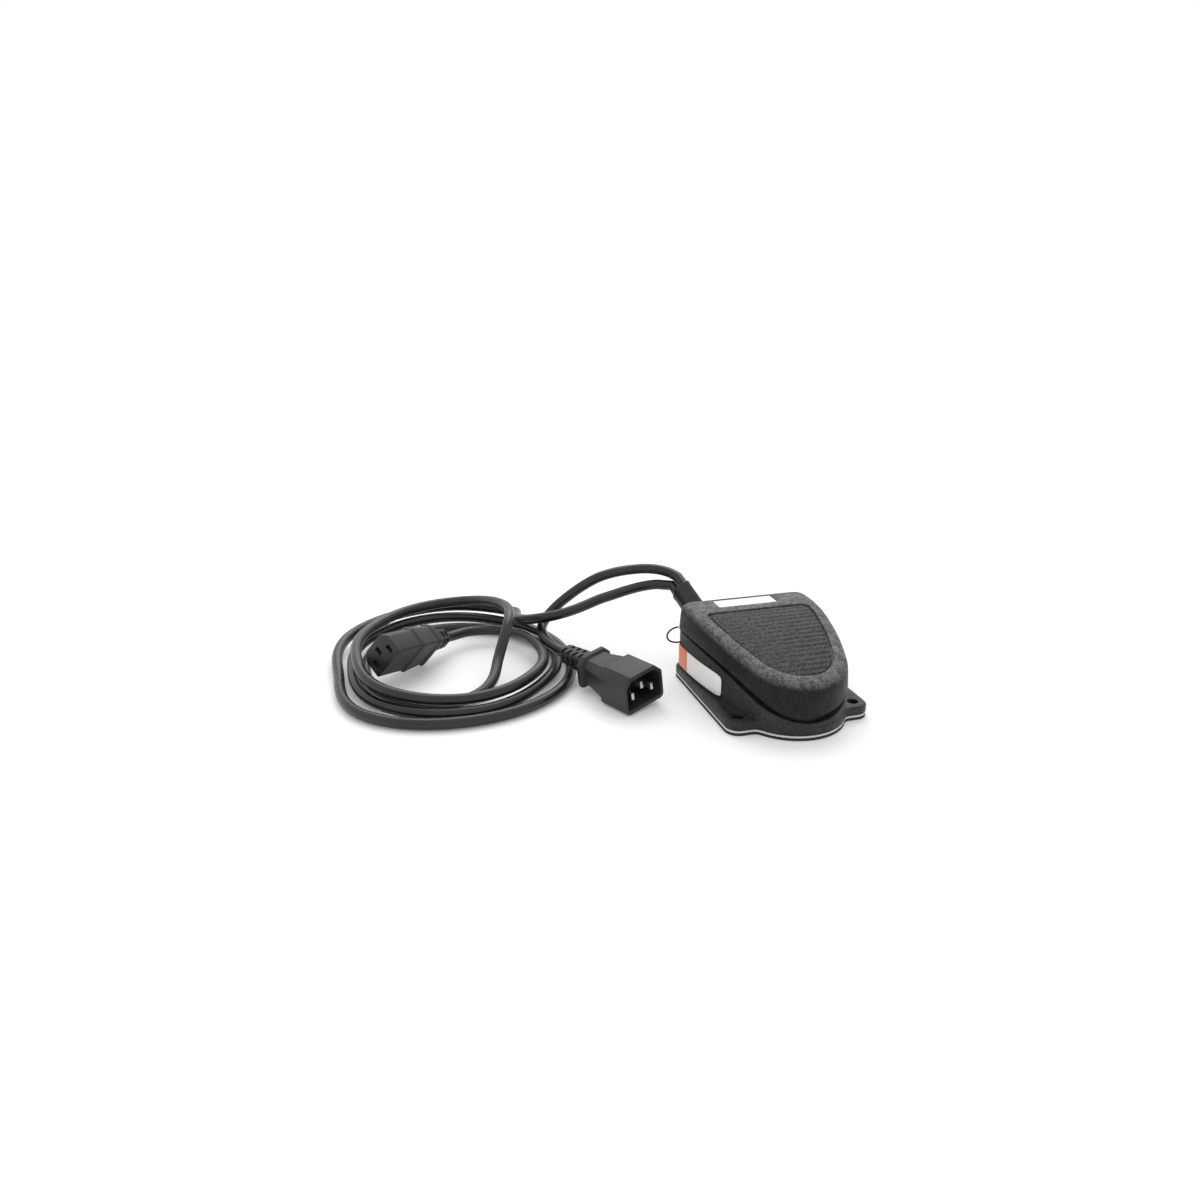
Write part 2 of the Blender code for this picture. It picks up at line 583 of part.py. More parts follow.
def combine(target, tool, operation):
    """Unite target with tool, or cut tool out of it; the tool is used up."""
    modifier = target.modifiers.new(tool.name, "BOOLEAN")
    modifier.operation = operation
    modifier.solver = "EXACT"
    modifier.object = tool
    bpy.context.view_layer.update()
    evaluated = target.evaluated_get(bpy.context.evaluated_depsgraph_get())
    mesh = bpy.data.meshes.new_from_object(evaluated)
    target.modifiers.clear()
    target.data = mesh
    bpy.data.objects.remove(tool)


def unite(target, *tools):
    """Unite target with each tool."""
    for tool in tools:
        combine(target, tool, "UNION")


def cut(target, *tools):
    """Cut each tool out of target."""
    for tool in tools:
        combine(target, tool, "DIFFERENCE")


def guide(name, location):
    """An empty on a joint's axis."""
    empty = bpy.data.objects.new(name, None)
    empty.location = location
    bpy.context.scene.collection.objects.link(empty)
    return empty


def ride(empty, *pieces):
    """Parent pieces to an empty, where they are."""
    for piece in pieces:
        piece.parent = empty
        piece.matrix_parent_inverse = Matrix.Translation(-empty.location)


# ---------------------------------------------------------------------------------------------
# Tubes
# ---------------------------------------------------------------------------------------------

def smooth_route(points, step):
    """Points about one step apart on a smooth curve through the given points."""
    points = [Vector(point) for point in points]
    lengths = [(b - a).length for a, b in zip(points, points[1:])]
    tangents = [(points[1] - points[0]) / lengths[0]]
    for i in range(1, len(points) - 1):
        before = (points[i] - points[i - 1]) / lengths[i - 1]
        after = (points[i + 1] - points[i]) / lengths[i]
        share = lengths[i - 1] / (lengths[i - 1] + lengths[i])
        tangents.append(before.lerp(after, share))
    tangents.append((points[-1] - points[-2]) / lengths[-1])
    fine = []
    for i, length in enumerate(lengths):
        for k in range(16):
            t = k / 16
            fine.append((2 * t ** 3 - 3 * t ** 2 + 1) * points[i]
                        + (t ** 3 - 2 * t ** 2 + t) * length * tangents[i]
                        + (3 * t ** 2 - 2 * t ** 3) * points[i + 1]
                        + (t ** 3 - t ** 2) * length * tangents[i + 1])
    fine.append(points[-1])
    return even(fine, step)


def even(points, step):
    """The same line with points about one step apart."""
    reach = [0.0]
    for a, b in zip(points, points[1:]):
        reach.append(reach[-1] + (b - a).length)
    count = max(round(reach[-1] / step), 1)
    spaced = []
    i = 0
    for k in range(count + 1):
        wanted = reach[-1] * k / count
        while i < len(points) - 2 and reach[i + 1] < wanted:
            i += 1
        span = reach[i + 1] - reach[i]
        spaced.append(points[i].lerp(points[i + 1], (wanted - reach[i]) / span))
    return spaced


def tube(name, points, radius, look, resolution=2):
    """A capped round tube along points, as a curve object."""
    curve = bpy.data.curves.new(name, "CURVE")
    curve.dimensions = "3D"
    curve.bevel_depth = radius
    curve.bevel_resolution = resolution
    curve.use_fill_caps = True
    spline = curve.splines.new("POLY")
    spline.points.add(len(points) - 1)
    for spot, point in zip(spline.points, points):
        spot.co = (*point, 1.0)
    curve.materials.append(material(look))
    made = bpy.data.objects.new(name, curve)
    bpy.context.scene.collection.objects.link(made)
    return made


def length_of(points):
    """Length of a line of points."""
    return sum((b - a).length for a, b in zip(points, points[1:]))


def least_gap(points, diameter):
    """Least gap between a tube and its other turns, from points along its middle."""
    fine = even(points, diameter / 4)
    skip = 20
    least = min((a - b).length for i, a in enumerate(fine) for b in fine[i + skip:])
    return least - diameter


# ---------------------------------------------------------------------------------------------
# Castings and the layers under them
# ---------------------------------------------------------------------------------------------

def lug(name, x, reach, upward):
    """A round-ended lug at the hinge, running up or down from the pin by reach."""
    if upward:
        outline = arc((0.0, 0.0), LUG_RADIUS, -pi / 2, pi / 2, 8)
        outline += [(-reach, LUG_RADIUS), (-reach, -LUG_RADIUS)]
    else:
        outline = arc((0.0, 0.0), LUG_RADIUS, pi / 2, 1.5 * pi, 8)
        outline += [(reach, -LUG_RADIUS), (reach, LUG_RADIUS)]
    half = LUG_THICKNESS / 2
    return prism(name, outline, -half, half, matrix=across(x, PIVOT_Y, PIVOT_Z))


def pin_bore(length):
    """The cutter for the hinge pin's bores."""
    bore = PIN_RADIUS + BORE_CLEARANCE
    return turned("bore", [(bore, -length), (bore, length)], matrix=across(0, PIVOT_Y, PIVOT_Z))


def ear_holes(target):
    """Cut the two mounting holes through a layer."""
    radius = EAR_HOLE_DIAMETER / 2
    for side in (-1, 1):
        hole = [(radius, -0.001), (radius, FLANGE_TOP + 0.001)]
        cut(target, turned("hole", hole, matrix=at(side * EAR_HOLE_X, EAR_HOLE_Y), steps=20))


def base_casting():
    """The lower casting: flange with ears, wedge-shaped wall, floor, lugs and bosses."""
    outer = wall_outline()
    rim = [rim_height(y) for _, y in outer]
    ledge = wall_outline(RIM_LEDGE)
    inner = wall_outline(WALL_THICKNESS)
    base = loft("base_casting", [
        lifted(outer, BASE_BOTTOM + FLANGE_EDGE),
        [(x, y, z) for (x, y), z in zip(outer, rim)],
        [(x, y, z) for (x, y), z in zip(ledge, rim)],
        [(x, y, z + UPSTAND_HEIGHT) for (x, y), z in zip(ledge, rim)],
    ], BLACK_CASTING, ladder=True)
    flange = loft("flange", [
        lifted(flange_outline(), BASE_BOTTOM),
        lifted(flange_outline(), FLANGE_TOP - FLANGE_EDGE),
        lifted(flange_outline(FLANGE_EDGE), FLANGE_TOP),
    ])
    unite(base, flange)
    cut(base, loft("inside", [
        lifted(inner, FLOOR_TOP),
        [(x, y, z + 2 * UPSTAND_HEIGHT) for (x, y), z in zip(inner, rim)],
    ], ladder=True))
    root = FLOOR_TOP - SPIGOT_ROOT
    for side in (-1, 1):
        unite(base, lug("lug", side * BASE_LUG_X, PIVOT_Z - root, False))
    spigot = [(SPIGOT_RADIUS, root), (SPIGOT_RADIUS, FLOOR_TOP + SPIGOT_HEIGHT)]
    unite(base, turned("spigot", spigot, matrix=at(0, SPRING_Y)))
    boss = [(EARTH_BOSS_RADIUS, root), (EARTH_BOSS_RADIUS, EARTH_BOSS_TOP)]
    unite(base, turned("boss", boss, matrix=at(EARTH_X, EARTH_Y)))
    ear_holes(base)
    cut(base, pin_bore(PIN_HALF_LENGTH + CLIP_THICKNESS))
    cut(base, sleeve_cutter())
    cut(base, bonding_hole())
    thread = M4_RADIUS + GAP
    earth = [(thread, FLOOR_TOP), (thread, EARTH_BOSS_TOP + GAP)]
    cut(base, turned("thread", earth, matrix=at(EARTH_X, EARTH_Y), steps=12))
    for y in bracket_screw_places():
        hole = [(M3_RADIUS + GAP, FLOOR_TOP - SCREW_BITE - GAP), (M3_RADIUS + GAP, FLOOR_TOP + GAP)]
        cut(base, turned("thread", hole, matrix=at(BRACKET_SCREW_X, y), steps=12))
    return base


def layers():
    """The white foam layer and the rubber pad under the base."""
    pad = prism("rubber_pad", flange_outline(), 0.0, PAD_THICKNESS, BLACK_RUBBER)
    foam_bottom = PAD_THICKNESS + GAP
    foam_outline = flange_outline(FOAM_INSET)
    foam = prism("foam_layer", foam_outline, foam_bottom, foam_bottom + FOAM_THICKNESS, WHITE_FOAM)
    ear_holes(pad)
    ear_holes(foam)


def treadle_cover():
    """The pressed cover: a shell with a recessed tread, a nameplate recess, lugs and bosses."""
    edge = wall_outline(-COVER_OVERHANG)
    skirt = [(x, y, skirt_height(y)) for x, y in edge]

    def crest(outline, drop):
        return [(x, y, cover_height(y) - drop) for x, y in outline]

    rings = [skirt, crest(wall_outline(COVER_DRAFT - COVER_OVERHANG), SKIRT_TOP_DROP)]
    for step in range(1, EDGE_STEPS + 1):
        angle = pi / 2 * step / EDGE_STEPS
        inset = COVER_DRAFT - COVER_OVERHANG + EDGE_ROUND * (1 - cos(angle))
        rings.append(crest(wall_outline(inset), EDGE_ROUND * (1 - sin(angle))))
    cover = loft("treadle_cover", rings, BLACK_CASTING, ladder=True)
    inside = COVER_THICKNESS - COVER_OVERHANG
    hollow = wall_outline(inside)
    cut(cover, loft("inside", [
        [(x, y, skirt_height(y) - COVER_THICKNESS) for x, y in hollow],
        crest(wall_outline(inside + COVER_DRAFT), COVER_TOP_THICKNESS + EDGE_ROUND / 2),
        crest(wall_outline(inside + EDGE_ROUND / 2 + COVER_DRAFT), COVER_TOP_THICKNESS),
    ], ladder=True))
    tread = wall_outline(TREAD_BORDER, TREAD_BACK, TREAD_CORNER)
    cut(cover, loft("tread", [crest(tread, TREAD_DEPTH), crest(tread, -TREAD_DEPTH)], ladder=True))
    half = PLATE_RECESS_WIDTH / 2
    recess_floor = COVER_HEEL_HEIGHT - PLATE_RECESS_DEPTH
    cut(cover, box("recess", (PLATE_X - half, PLATE_RECESS_FRONT, recess_floor),
                   (PLATE_X + half, PLATE_RECESS_BACK, COVER_HEEL_HEIGHT + PLATE_RECESS_DEPTH)))

    def post(radius, x, y, bottom):
        outline = [(x + dx, y + dy) for dx, dy in circle(radius)]
        return loft("post", [lifted(outline, bottom), crest(outline, COVER_TOP_THICKNESS - POST_ROOT)])

    rise = cover_height(PIVOT_Y) - COVER_TOP_THICKNESS / 2 - PIVOT_Z
    for side in (-1, 1):
        unite(cover, lug("lug", side * COVER_LUG_X, rise, True))
    unite(cover, post(SEAT_RADIUS, 0.0, SPRING_Y, SPRING_TOP))
    spigot = [(SPIGOT_RADIUS, SPRING_TOP - SPIGOT_HEIGHT), (SPIGOT_RADIUS, SPRING_TOP + SPIGOT_ROOT)]
    unite(cover, turned("spigot", spigot, matrix=at(0, SPRING_Y)))
    unite(cover, post(ACTUATOR_BOSS_RADIUS, SWITCH_X, ACTUATOR_Y, ACTUATOR_BOSS_BOTTOM))
    cut(cover, pin_bore(PIN_HALF_LENGTH))
    thread = M4_RADIUS + GAP
    hole = [(thread, ACTUATOR_BOSS_BOTTOM - GAP), (thread, actuator_top() + GAP)]
    cut(cover, turned("thread", hole, matrix=at(SWITCH_X, ACTUATOR_Y), steps=16))
    return cover


def nameplate():
    """The blank plate in the cover's recess."""
    half = PLATE_RECESS_WIDTH / 2 - PLATE_MARGIN
    bottom = COVER_HEEL_HEIGHT - PLATE_RECESS_DEPTH + GAP
    return box("nameplate", (PLATE_X - half, PLATE_RECESS_FRONT + PLATE_MARGIN, bottom),
               (PLATE_X + half, PLATE_RECESS_BACK - PLATE_MARGIN, bottom + PLATE_THICKNESS),
               WHITE_LABEL)


def wall_side(y, outset):
    """Half width of the wall at y, moved outwards."""
    if y <= HEEL_CENTRE_Y:
        centre, radius = WALL_HALF_WIDTH - SIDE_RADIUS, SIDE_RADIUS + outset
    else:
        centre, radius = WALL_HALF_WIDTH - HEEL_CORNER, HEEL_CORNER + outset
    return centre + sqrt(radius ** 2 - (y - HEEL_CENTRE_Y) ** 2)


def side_label(name, front, back, look, round_front=0.0):
    """One coloured part of the label that follows the wall at -X."""
    rings = []
    steps = 8
    ends = [front + (back - front) * i / steps for i in range(steps + 1)]
    rounded = [front + round_front * t for t in LABEL_STATIONS if round_front]
    for y in sorted(ends + rounded):
        shrink = 0.0
        if y - front < round_front:
            shrink = round_front - sqrt(round_front ** 2 - (round_front - y + front) ** 2)
        shrink = min(shrink, LABEL_END_CUT)
        low = LABEL_BOTTOM + shrink
        high = LABEL_BOTTOM + LABEL_HEIGHT - shrink
        near = -wall_side(y, GAP)
        far = -wall_side(y, GAP + LABEL_THICKNESS)
        rings.append([(near, y, low), (far, y, low), (far, y, high), (near, y, high)])
    return loft(name, rings, look)


# ---------------------------------------------------------------------------------------------
# Hinge and spring
# ---------------------------------------------------------------------------------------------

def hinge_pin():
    """The hinge pin, with a groove for a clip near each end, and its two clips."""
    face = BASE_LUG_X + LUG_THICKNESS / 2
    near, far = face + GAP / 2, face + CLIP_THICKNESS + 1.5 * GAP
    radius, groove = PIN_RADIUS, PIN_RADIUS - CLIP_GROOVE
    half = [(radius, near), (groove, near), (groove, far), (radius, far),
            (radius, PIN_HALF_LENGTH)]
    profile = [(r, -z) for r, z in reversed(half)] + half
    middle = across(0, PIVOT_Y, PIVOT_Z)
    turned("pivot_pin", profile, STEEL, middle, steps=20)
    opening = radians(35)
    inner = groove + GAP
    outline = arc((0, 0), CLIP_RADIUS, opening, 2 * pi - opening, 16)
    outline += arc((0, 0), inner, 2 * pi - opening, opening, 16)
    for side, name in ((-1, "pivot_clip_left"), (1, "pivot_clip_right")):
        start = side * (face + GAP)
        end = side * (face + GAP + CLIP_THICKNESS)
        prism(name, outline, min(start, end), max(start, end), STEEL, middle)


def return_spring():
    """The coil spring between the floor's spigot and the cover's."""
    bottom = FLOOR_TOP + GAP + SPRING_WIRE / 2
    top = SPRING_TOP - GAP - SPRING_WIRE / 2
    count = SPRING_TURNS * SPRING_POINTS
    points = []
    for i in range(count + 1):
        angle = 2 * pi * i / SPRING_POINTS
        points.append(Vector((SPRING_RADIUS * cos(angle), SPRING_Y + SPRING_RADIUS * sin(angle),
                              bottom + (top - bottom) * i / count)))
    tube("return_spring", points, SPRING_WIRE / 2, STEEL, 1)
    print(f"return_spring: least gap to itself {least_gap(points, SPRING_WIRE) * 1000:.2f} mm")


# ---------------------------------------------------------------------------------------------
# Switch, bracket and the screw that works the switch
# ---------------------------------------------------------------------------------------------

def switch_body():
    """The snap switch's case, with ears for its lever, a bore for its plunger and two holes."""
    half = SWITCH_WIDTH / 2
    front, back = SWITCH_Y - SWITCH_LENGTH / 2, SWITCH_Y + SWITCH_LENGTH / 2
    body = box("switch_body", (SWITCH_X - half, front, SWITCH_BOTTOM),
               (SWITCH_X + half, back, SWITCH_TOP), BLACK_VINYL)
    ear = LEVER_EYE_RADIUS + 2 * GAP + LEVER_EAR_WALL
    inner = LEVER_WIDTH / 2 + GAP
    for side in (-1, 1):
        a, b = SWITCH_X + side * inner, SWITCH_X + side * (inner + LEVER_EAR_THICKNESS)
        unite(body, box("ear", (min(a, b), LEVER_HINGE_Y - ear, SWITCH_TOP - LEVER_EAR_WALL),
                        (max(a, b), LEVER_HINGE_Y + ear, LEVER_HINGE_Z + ear)))
    eye = LEVER_EYE_RADIUS + GAP
    cut(body, turned("eye", [(eye, -half), (eye, half)], steps=16,
                     matrix=across(SWITCH_X, LEVER_HINGE_Y, LEVER_HINGE_Z)))
    bore = PLUNGER_RADIUS + GAP
    depth = PLUNGER_LENGTH_INSIDE + PLUNGER_SPARE
    cut(body, turned("bore", [(bore, SWITCH_TOP - depth), (bore, SWITCH_TOP + GAP)], steps=16,
                     matrix=at(SWITCH_X, LEVER_HINGE_Y - PLUNGER_OFFSET)))
    for y in switch_screw_places():
        hole = [(M3_RADIUS + GAP, -SWITCH_WIDTH), (M3_RADIUS + GAP, SWITCH_WIDTH)]
        cut(body, turned("hole", hole, steps=12,
                         matrix=across(SWITCH_X, y, SWITCH_BOTTOM + SWITCH_HOLE_HEIGHT)))


def switch_screw_places():
    """Y of the two screws through the switch."""
    return (SWITCH_Y - SWITCH_HOLE_SPACING / 2, SWITCH_Y + SWITCH_HOLE_SPACING / 2)


def bracket_screw_places():
    """Y of the two screws through the bracket's foot."""
    return (SWITCH_Y - BRACKET_SCREW_SPACING / 2, SWITCH_Y + BRACKET_SCREW_SPACING / 2)


def switch_lever():
    """The lever: a strip that rises to the toe from an axle in the case's ears."""
    half = LEVER_WIDTH / 2
    strip = box("switch_lever", (-half, -LEVER_LENGTH, -LEVER_THICKNESS / 2),
                (half, 0.0, LEVER_THICKNESS / 2), STEEL,
                at(SWITCH_X, LEVER_HINGE_Y, LEVER_HINGE_Z)
                @ Matrix.Rotation(-LEVER_REST_ANGLE, 4, "X"))
    reach = half + GAP + LEVER_EAR_THICKNESS
    unite(strip, turned("axle", [(LEVER_EYE_RADIUS, -reach), (LEVER_EYE_RADIUS, reach)], steps=12,
                        matrix=across(SWITCH_X, LEVER_HINGE_Y, LEVER_HINGE_Z)))
    return strip


def switch_plunger():
    """The plunger that the lever presses."""
    top = (LEVER_HINGE_Z - LEVER_THICKNESS / 2
           + PLUNGER_OFFSET * tan(LEVER_REST_ANGLE) - 1.3 * GAP)
    profile = [(PLUNGER_RADIUS, SWITCH_TOP - PLUNGER_LENGTH_INSIDE), (PLUNGER_RADIUS, top - 2 * GAP),
               (PLUNGER_RADIUS / 2, top)]
    return turned("switch_plunger", profile, WHITE_LABEL,
                  at(SWITCH_X, LEVER_HINGE_Y - PLUNGER_OFFSET), steps=16)


def switch_terminals():
    """Three blades on the switch's heel end."""
    start = SWITCH_Y + SWITCH_LENGTH / 2 + GAP
    half = TERMINAL_WIDTH / 2
    for name, z in zip(("switch_terminal_open", "switch_terminal_common", "switch_terminal_closed"),
                       TERMINAL_HEIGHTS):
        middle = SWITCH_BOTTOM + z
        box(name, (SWITCH_X - half, start, middle - TERMINAL_THICKNESS / 2),
            (SWITCH_X + half, start + TERMINAL_LENGTH, middle + TERMINAL_THICKNESS / 2), BRASS)


def switch_bracket():
    """The angle bracket between the switch and the floor."""
    plate = SWITCH_X - SWITCH_WIDTH / 2 - GAP
    wall = plate - BRACKET_THICKNESS
    low = FLOOR_TOP + GAP
    top = SWITCH_BOTTOM + BRACKET_RISE
    outline = [(wall - BRACKET_FOOT, low), (plate, low), (plate, top), (wall, top),
               (wall, low + BRACKET_THICKNESS), (wall - BRACKET_FOOT, low + BRACKET_THICKNESS)]
    upright = Matrix(((1, 0, 0), (0, 0, -1), (0, 1, 0))).to_4x4()
    half = SWITCH_LENGTH / 2
    bracket = prism("switch_bracket", outline, -SWITCH_Y - half, -SWITCH_Y + half, STEEL, upright)
    for y in switch_screw_places():
        hole = [(M3_RADIUS + GAP, -BRACKET_THICKNESS), (M3_RADIUS + GAP, BRACKET_THICKNESS)]
        cut(bracket, turned("hole", hole, steps=12,
                            matrix=across(plate - BRACKET_THICKNESS / 2, y,
                                          SWITCH_BOTTOM + SWITCH_HOLE_HEIGHT)))
    for y in bracket_screw_places():
        hole = [(M3_RADIUS + GAP, low - GAP), (M3_RADIUS + GAP, low + BRACKET_THICKNESS + GAP)]
        cut(bracket, turned("hole", hole, matrix=at(BRACKET_SCREW_X, y), steps=12))


def screw(name, radius, head_radius, head_height, length, matrix):
    """A pan-head screw whose head sits at +Z on z = 0 and whose shank runs down."""
    profile = [(radius, -length), (radius, 0.0), (head_radius, 0.0),
               (head_radius, head_height * HEAD_SIDE_SHARE),
               (head_radius * HEAD_CROWN_SHARE, head_height)]
    return turned(name, profile, STEEL, matrix, steps=12)


def fasteners():
    """The screws of the switch, its bracket and the earth."""
    outer_face = SWITCH_X - SWITCH_WIDTH / 2 - 2 * GAP - BRACKET_THICKNESS
    for i, y in enumerate(switch_screw_places()):
        place = across(outer_face, y, SWITCH_BOTTOM + SWITCH_HOLE_HEIGHT)
        screw(f"switch_screw_{i + 1}", M3_RADIUS, M3_HEAD_RADIUS, M3_HEAD_HEIGHT,
              SWITCH_WIDTH + BRACKET_THICKNESS + GAP, place @ Matrix.Rotation(pi, 4, "X"))
    seat = FLOOR_TOP + 2 * GAP + BRACKET_THICKNESS
    for i, y in enumerate(bracket_screw_places()):
        screw(f"bracket_screw_{i + 1}", M3_RADIUS, M3_HEAD_RADIUS, M3_HEAD_HEIGHT,
              seat - FLOOR_TOP + SCREW_BITE, at(BRACKET_SCREW_X, y, seat))
    screw("earth_screw", M4_RADIUS, M4_HEAD_RADIUS, M4_HEAD_HEIGHT, EARTH_SCREW_LENGTH,
          at(EARTH_X, EARTH_Y, EARTH_BOSS_TOP + 2 * GAP + EARTH_LUG_THICKNESS))


def actuator_top():
    """Upper end of the adjusting screw, inside the cover's boss."""
    return cover_height(ACTUATOR_Y) - TREAD_DEPTH - ACTUATOR_COVER - GAP


def actuator():
    """The adjusting screw in the cover's boss, and its lock nut."""
    tip = [(M4_RADIUS * 0.5, ACTUATOR_TIP), (M4_RADIUS, ACTUATOR_TIP + 2 * GAP),
           (M4_RADIUS, actuator_top())]
    place = at(SWITCH_X, ACTUATOR_Y)
    stud = turned("actuator_screw", tip, STEEL, place, steps=16)
    nut = turned("actuator_nut", [(M4_NUT_FLAT / 2 / cos(pi / 6), ACTUATOR_NUT_BOTTOM),
                                  (M4_NUT_FLAT / 2 / cos(pi / 6),
                                   ACTUATOR_NUT_BOTTOM + M4_NUT_HEIGHT)], STEEL, place, steps=6)
    bore = [(M4_RADIUS + GAP, ACTUATOR_NUT_BOTTOM - GAP),
            (M4_RADIUS + GAP, ACTUATOR_NUT_BOTTOM + M4_NUT_HEIGHT + GAP)]
    cut(nut, turned("bore", bore, matrix=place, steps=16))
    return stud, nut


# ---------------------------------------------------------------------------------------------
# Sleeve, inner leads, earth and bonding wire
# ---------------------------------------------------------------------------------------------

def from_heel(place):
    """A point given by x, its distance from the wall's heel face and z."""
    x, y, z = place
    return Vector((x, WALL_REAR + y, z))


def sleeve_frame():
    """The sleeve's frame: +Z out along its axis from the wall, +Y along its two cords."""
    root = from_heel(SLEEVE_ROOT_PLACE)
    axis = from_heel(SLEEVE_TIP_PLACE) - root
    return frame(root, axis, Vector((0, 0, 1))) @ Matrix.Rotation(SLEEVE_ROLL, 4, "Z")


def sleeve_length():
    """The sleeve's length outside the wall."""
    return (from_heel(SLEEVE_TIP_PLACE) - from_heel(SLEEVE_ROOT_PLACE)).length


def sleeve_point(x, y, z):
    """A point given in the sleeve's frame."""
    return sleeve_frame() @ Vector((x, y, z))


def sleeve_cutter():
    """The hole for the sleeve through the heel wall."""
    minor, major = SLEEVE_ROOT_SIZE
    outline = oval(minor + GAP, major + GAP)
    return prism("hole", outline, SLEEVE_COLLAR_END - SLEEVE_COLLAR_THICKNESS, HEEL_CORNER,
                 matrix=sleeve_frame())


def cord_sleeve():
    """The sleeve that holds both cords, with a collar inside the wall."""
    length = sleeve_length()
    minor, major = SLEEVE_ROOT_SIZE
    tip_minor, tip_major = SLEEVE_TIP_SIZE
    collar = SLEEVE_COLLAR_RIM
    inner = SLEEVE_COLLAR_END - SLEEVE_COLLAR_THICKNESS
    stations = ((inner, minor + collar, major + collar),
                (SLEEVE_COLLAR_END, minor + collar, major + collar),
                (SLEEVE_COLLAR_END, minor, major),
                (0.0, minor, major),
                (length - SLEEVE_BEAD, tip_minor, tip_major),
                (length, tip_minor - SLEEVE_BEAD / 2, tip_major - SLEEVE_BEAD / 2))
    rings = [lifted(oval(a, b), z) for z, a, b in stations]
    loft("cord_sleeve", rings, BLACK_VINYL, sleeve_frame())


def cord_tail(name, side):
    """A cord's jacket where it ends inside the case; returns its end's height in the frame."""
    start = SLEEVE_COLLAR_END - SLEEVE_COLLAR_THICKNESS - GAP
    offset = side * CORD_PAIR_OFFSET
    points = [sleeve_point(0, offset, start), sleeve_point(0, offset, start - TAIL_LENGTH)]
    tube(name, points, CORD_RADIUS, BLACK_VINYL)
    return start - TAIL_LENGTH - GAP


def lead_end(kind, side):
    """A lead's last two points, straight into the terminal, splice or barrel that takes it."""
    offset = side * LEAD_SPACING / 2
    if kind == "live":
        z = SWITCH_BOTTOM + TERMINAL_HEIGHTS[1 if side > 0 else 0]
        y = SWITCH_Y + SWITCH_LENGTH / 2 + TERMINAL_LENGTH + 2 * GAP
        return [(SWITCH_X, y + LEAD_APPROACH, z), (SWITCH_X, y, z)]
    if kind == "neutral":
        x, y, z = from_heel(SPLICE_PLACE)
        return [(x + offset, y, z), (x + offset, y - SPLICE_LEAD_DEPTH, z)]
    end = EARTH_BARREL_END - LEAD_RADIUS / 2
    z = EARTH_BOSS_TOP + GAP + EARTH_LUG_THICKNESS / 2
    return [(end - 2 * LEAD_RADIUS, EARTH_Y - offset, z), (end, EARTH_Y - offset, z)]


def inner_leads():
    """The cords' jackets inside, and the six leads from them."""
    for name, side in (("supply_tail", 1), ("load_tail", -1)):
        end = cord_tail(name, side)
        for kind, x, y, route in LEADS[side]:
            first = sleeve_point(x, side * CORD_PAIR_OFFSET + y, end)
            second = sleeve_point(x, side * CORD_PAIR_OFFSET + y, end - LEAD_RADIUS)
            way = [from_heel(place) for place in route] + lead_end(kind, side)
            points = [first, *smooth_route([second, *way], 4 * LEAD_RADIUS)]
            tube(f"lead_{name[:-5]}_{kind}", points, LEAD_RADIUS, LEAD_LOOKS[kind], 1)


def neutral_splice():
    """The closed-end connector that joins the two neutral leads."""
    lengthwise = Matrix.Translation(from_heel(SPLICE_PLACE)) @ Matrix.Rotation(pi / 2, 4, "X")
    radius = SPLICE_RADIUS
    splice = turned("neutral_splice", [(radius, 0.0), (radius, SPLICE_LENGTH - radius),
                                       (SPLICE_SHOULDER_RADIUS, SPLICE_LENGTH - radius / 3),
                                       (SPLICE_TIP_RADIUS, SPLICE_LENGTH)], WHITE_LABEL,
                    lengthwise, steps=16)
    bore = SPLICE_RADIUS - SPLICE_WALL
    cut(splice, turned("bore", [(bore, -GAP), (bore, SPLICE_DEPTH)], matrix=lengthwise, steps=16))


def earth_lug():
    """The ring tongue under the earth screw, with a barrel for the two earth leads."""
    bottom = EARTH_BOSS_TOP + GAP
    place = at(EARTH_X, EARTH_Y)
    lug_ring = ring_solid("earth_lug", M4_RADIUS + GAP, EARTH_LUG_RADIUS, bottom,
                          bottom + EARTH_LUG_THICKNESS, BRASS, place)
    half = EARTH_BARREL_WIDTH / 2
    overlap = (EARTH_LUG_RADIUS - M4_RADIUS) / 3
    inner = EARTH_X - EARTH_LUG_RADIUS + overlap
    unite(lug_ring, box("barrel", (EARTH_BARREL_END, EARTH_Y - half, bottom - GAP / 2),
                        (inner, EARTH_Y + half, bottom + EARTH_LUG_THICKNESS + GAP / 2)))


def bonding_points():
    """The bonding wire's points, from its route along the wall's side at -X."""
    return [(-WALL_HALF_WIDTH - out, HEEL_CENTRE_Y + along, RIM_HEEL_HEIGHT + up)
            for out, along, up in BONDING_ROUTE]


def bonding_hole():
    """The hole for the bonding wire through the wall at -X."""
    x, y, z = bonding_points()[-1]
    radius = BONDING_RADIUS + GAP
    hole = [(radius, -2 * WALL_THICKNESS), (radius, 2 * WALL_THICKNESS)]
    return turned("hole", hole, matrix=across(x, y, z), steps=12)


def bonding_wire():
    """The small bonding loop at the heel corner."""
    points = smooth_route(bonding_points(), 4 * BONDING_RADIUS)
    tube("bonding_wire", points, BONDING_RADIUS, BLACK_VINYL, 1)


# ---------------------------------------------------------------------------------------------
# Plug and socket
# ---------------------------------------------------------------------------------------------

def plug_frame():
    """The plug's frame, in which it lies a little rolled on its shroud."""
    upright = frame(PLUG_FACE, PLUG_AXIS, Vector((0, 0, 1)))
    return upright @ Matrix.Rotation(-PLUG_ROLL, 4, "Z")


def socket_frame():
    """The socket's frame, in which it leans over on its side."""
    return frame(SOCKET_FACE, SOCKET_AXIS, SOCKET_EARTH_SIDE)


def contact_places():
    """Names and places of line, neutral and earth on the plug's and the socket's faces."""
    row = -EARTH_OFFSET / 2
    return (("line", -PIN_SPACING / 2, row), ("neutral", PIN_SPACING / 2, row),
            ("earth", 0.0, EARTH_OFFSET / 2))


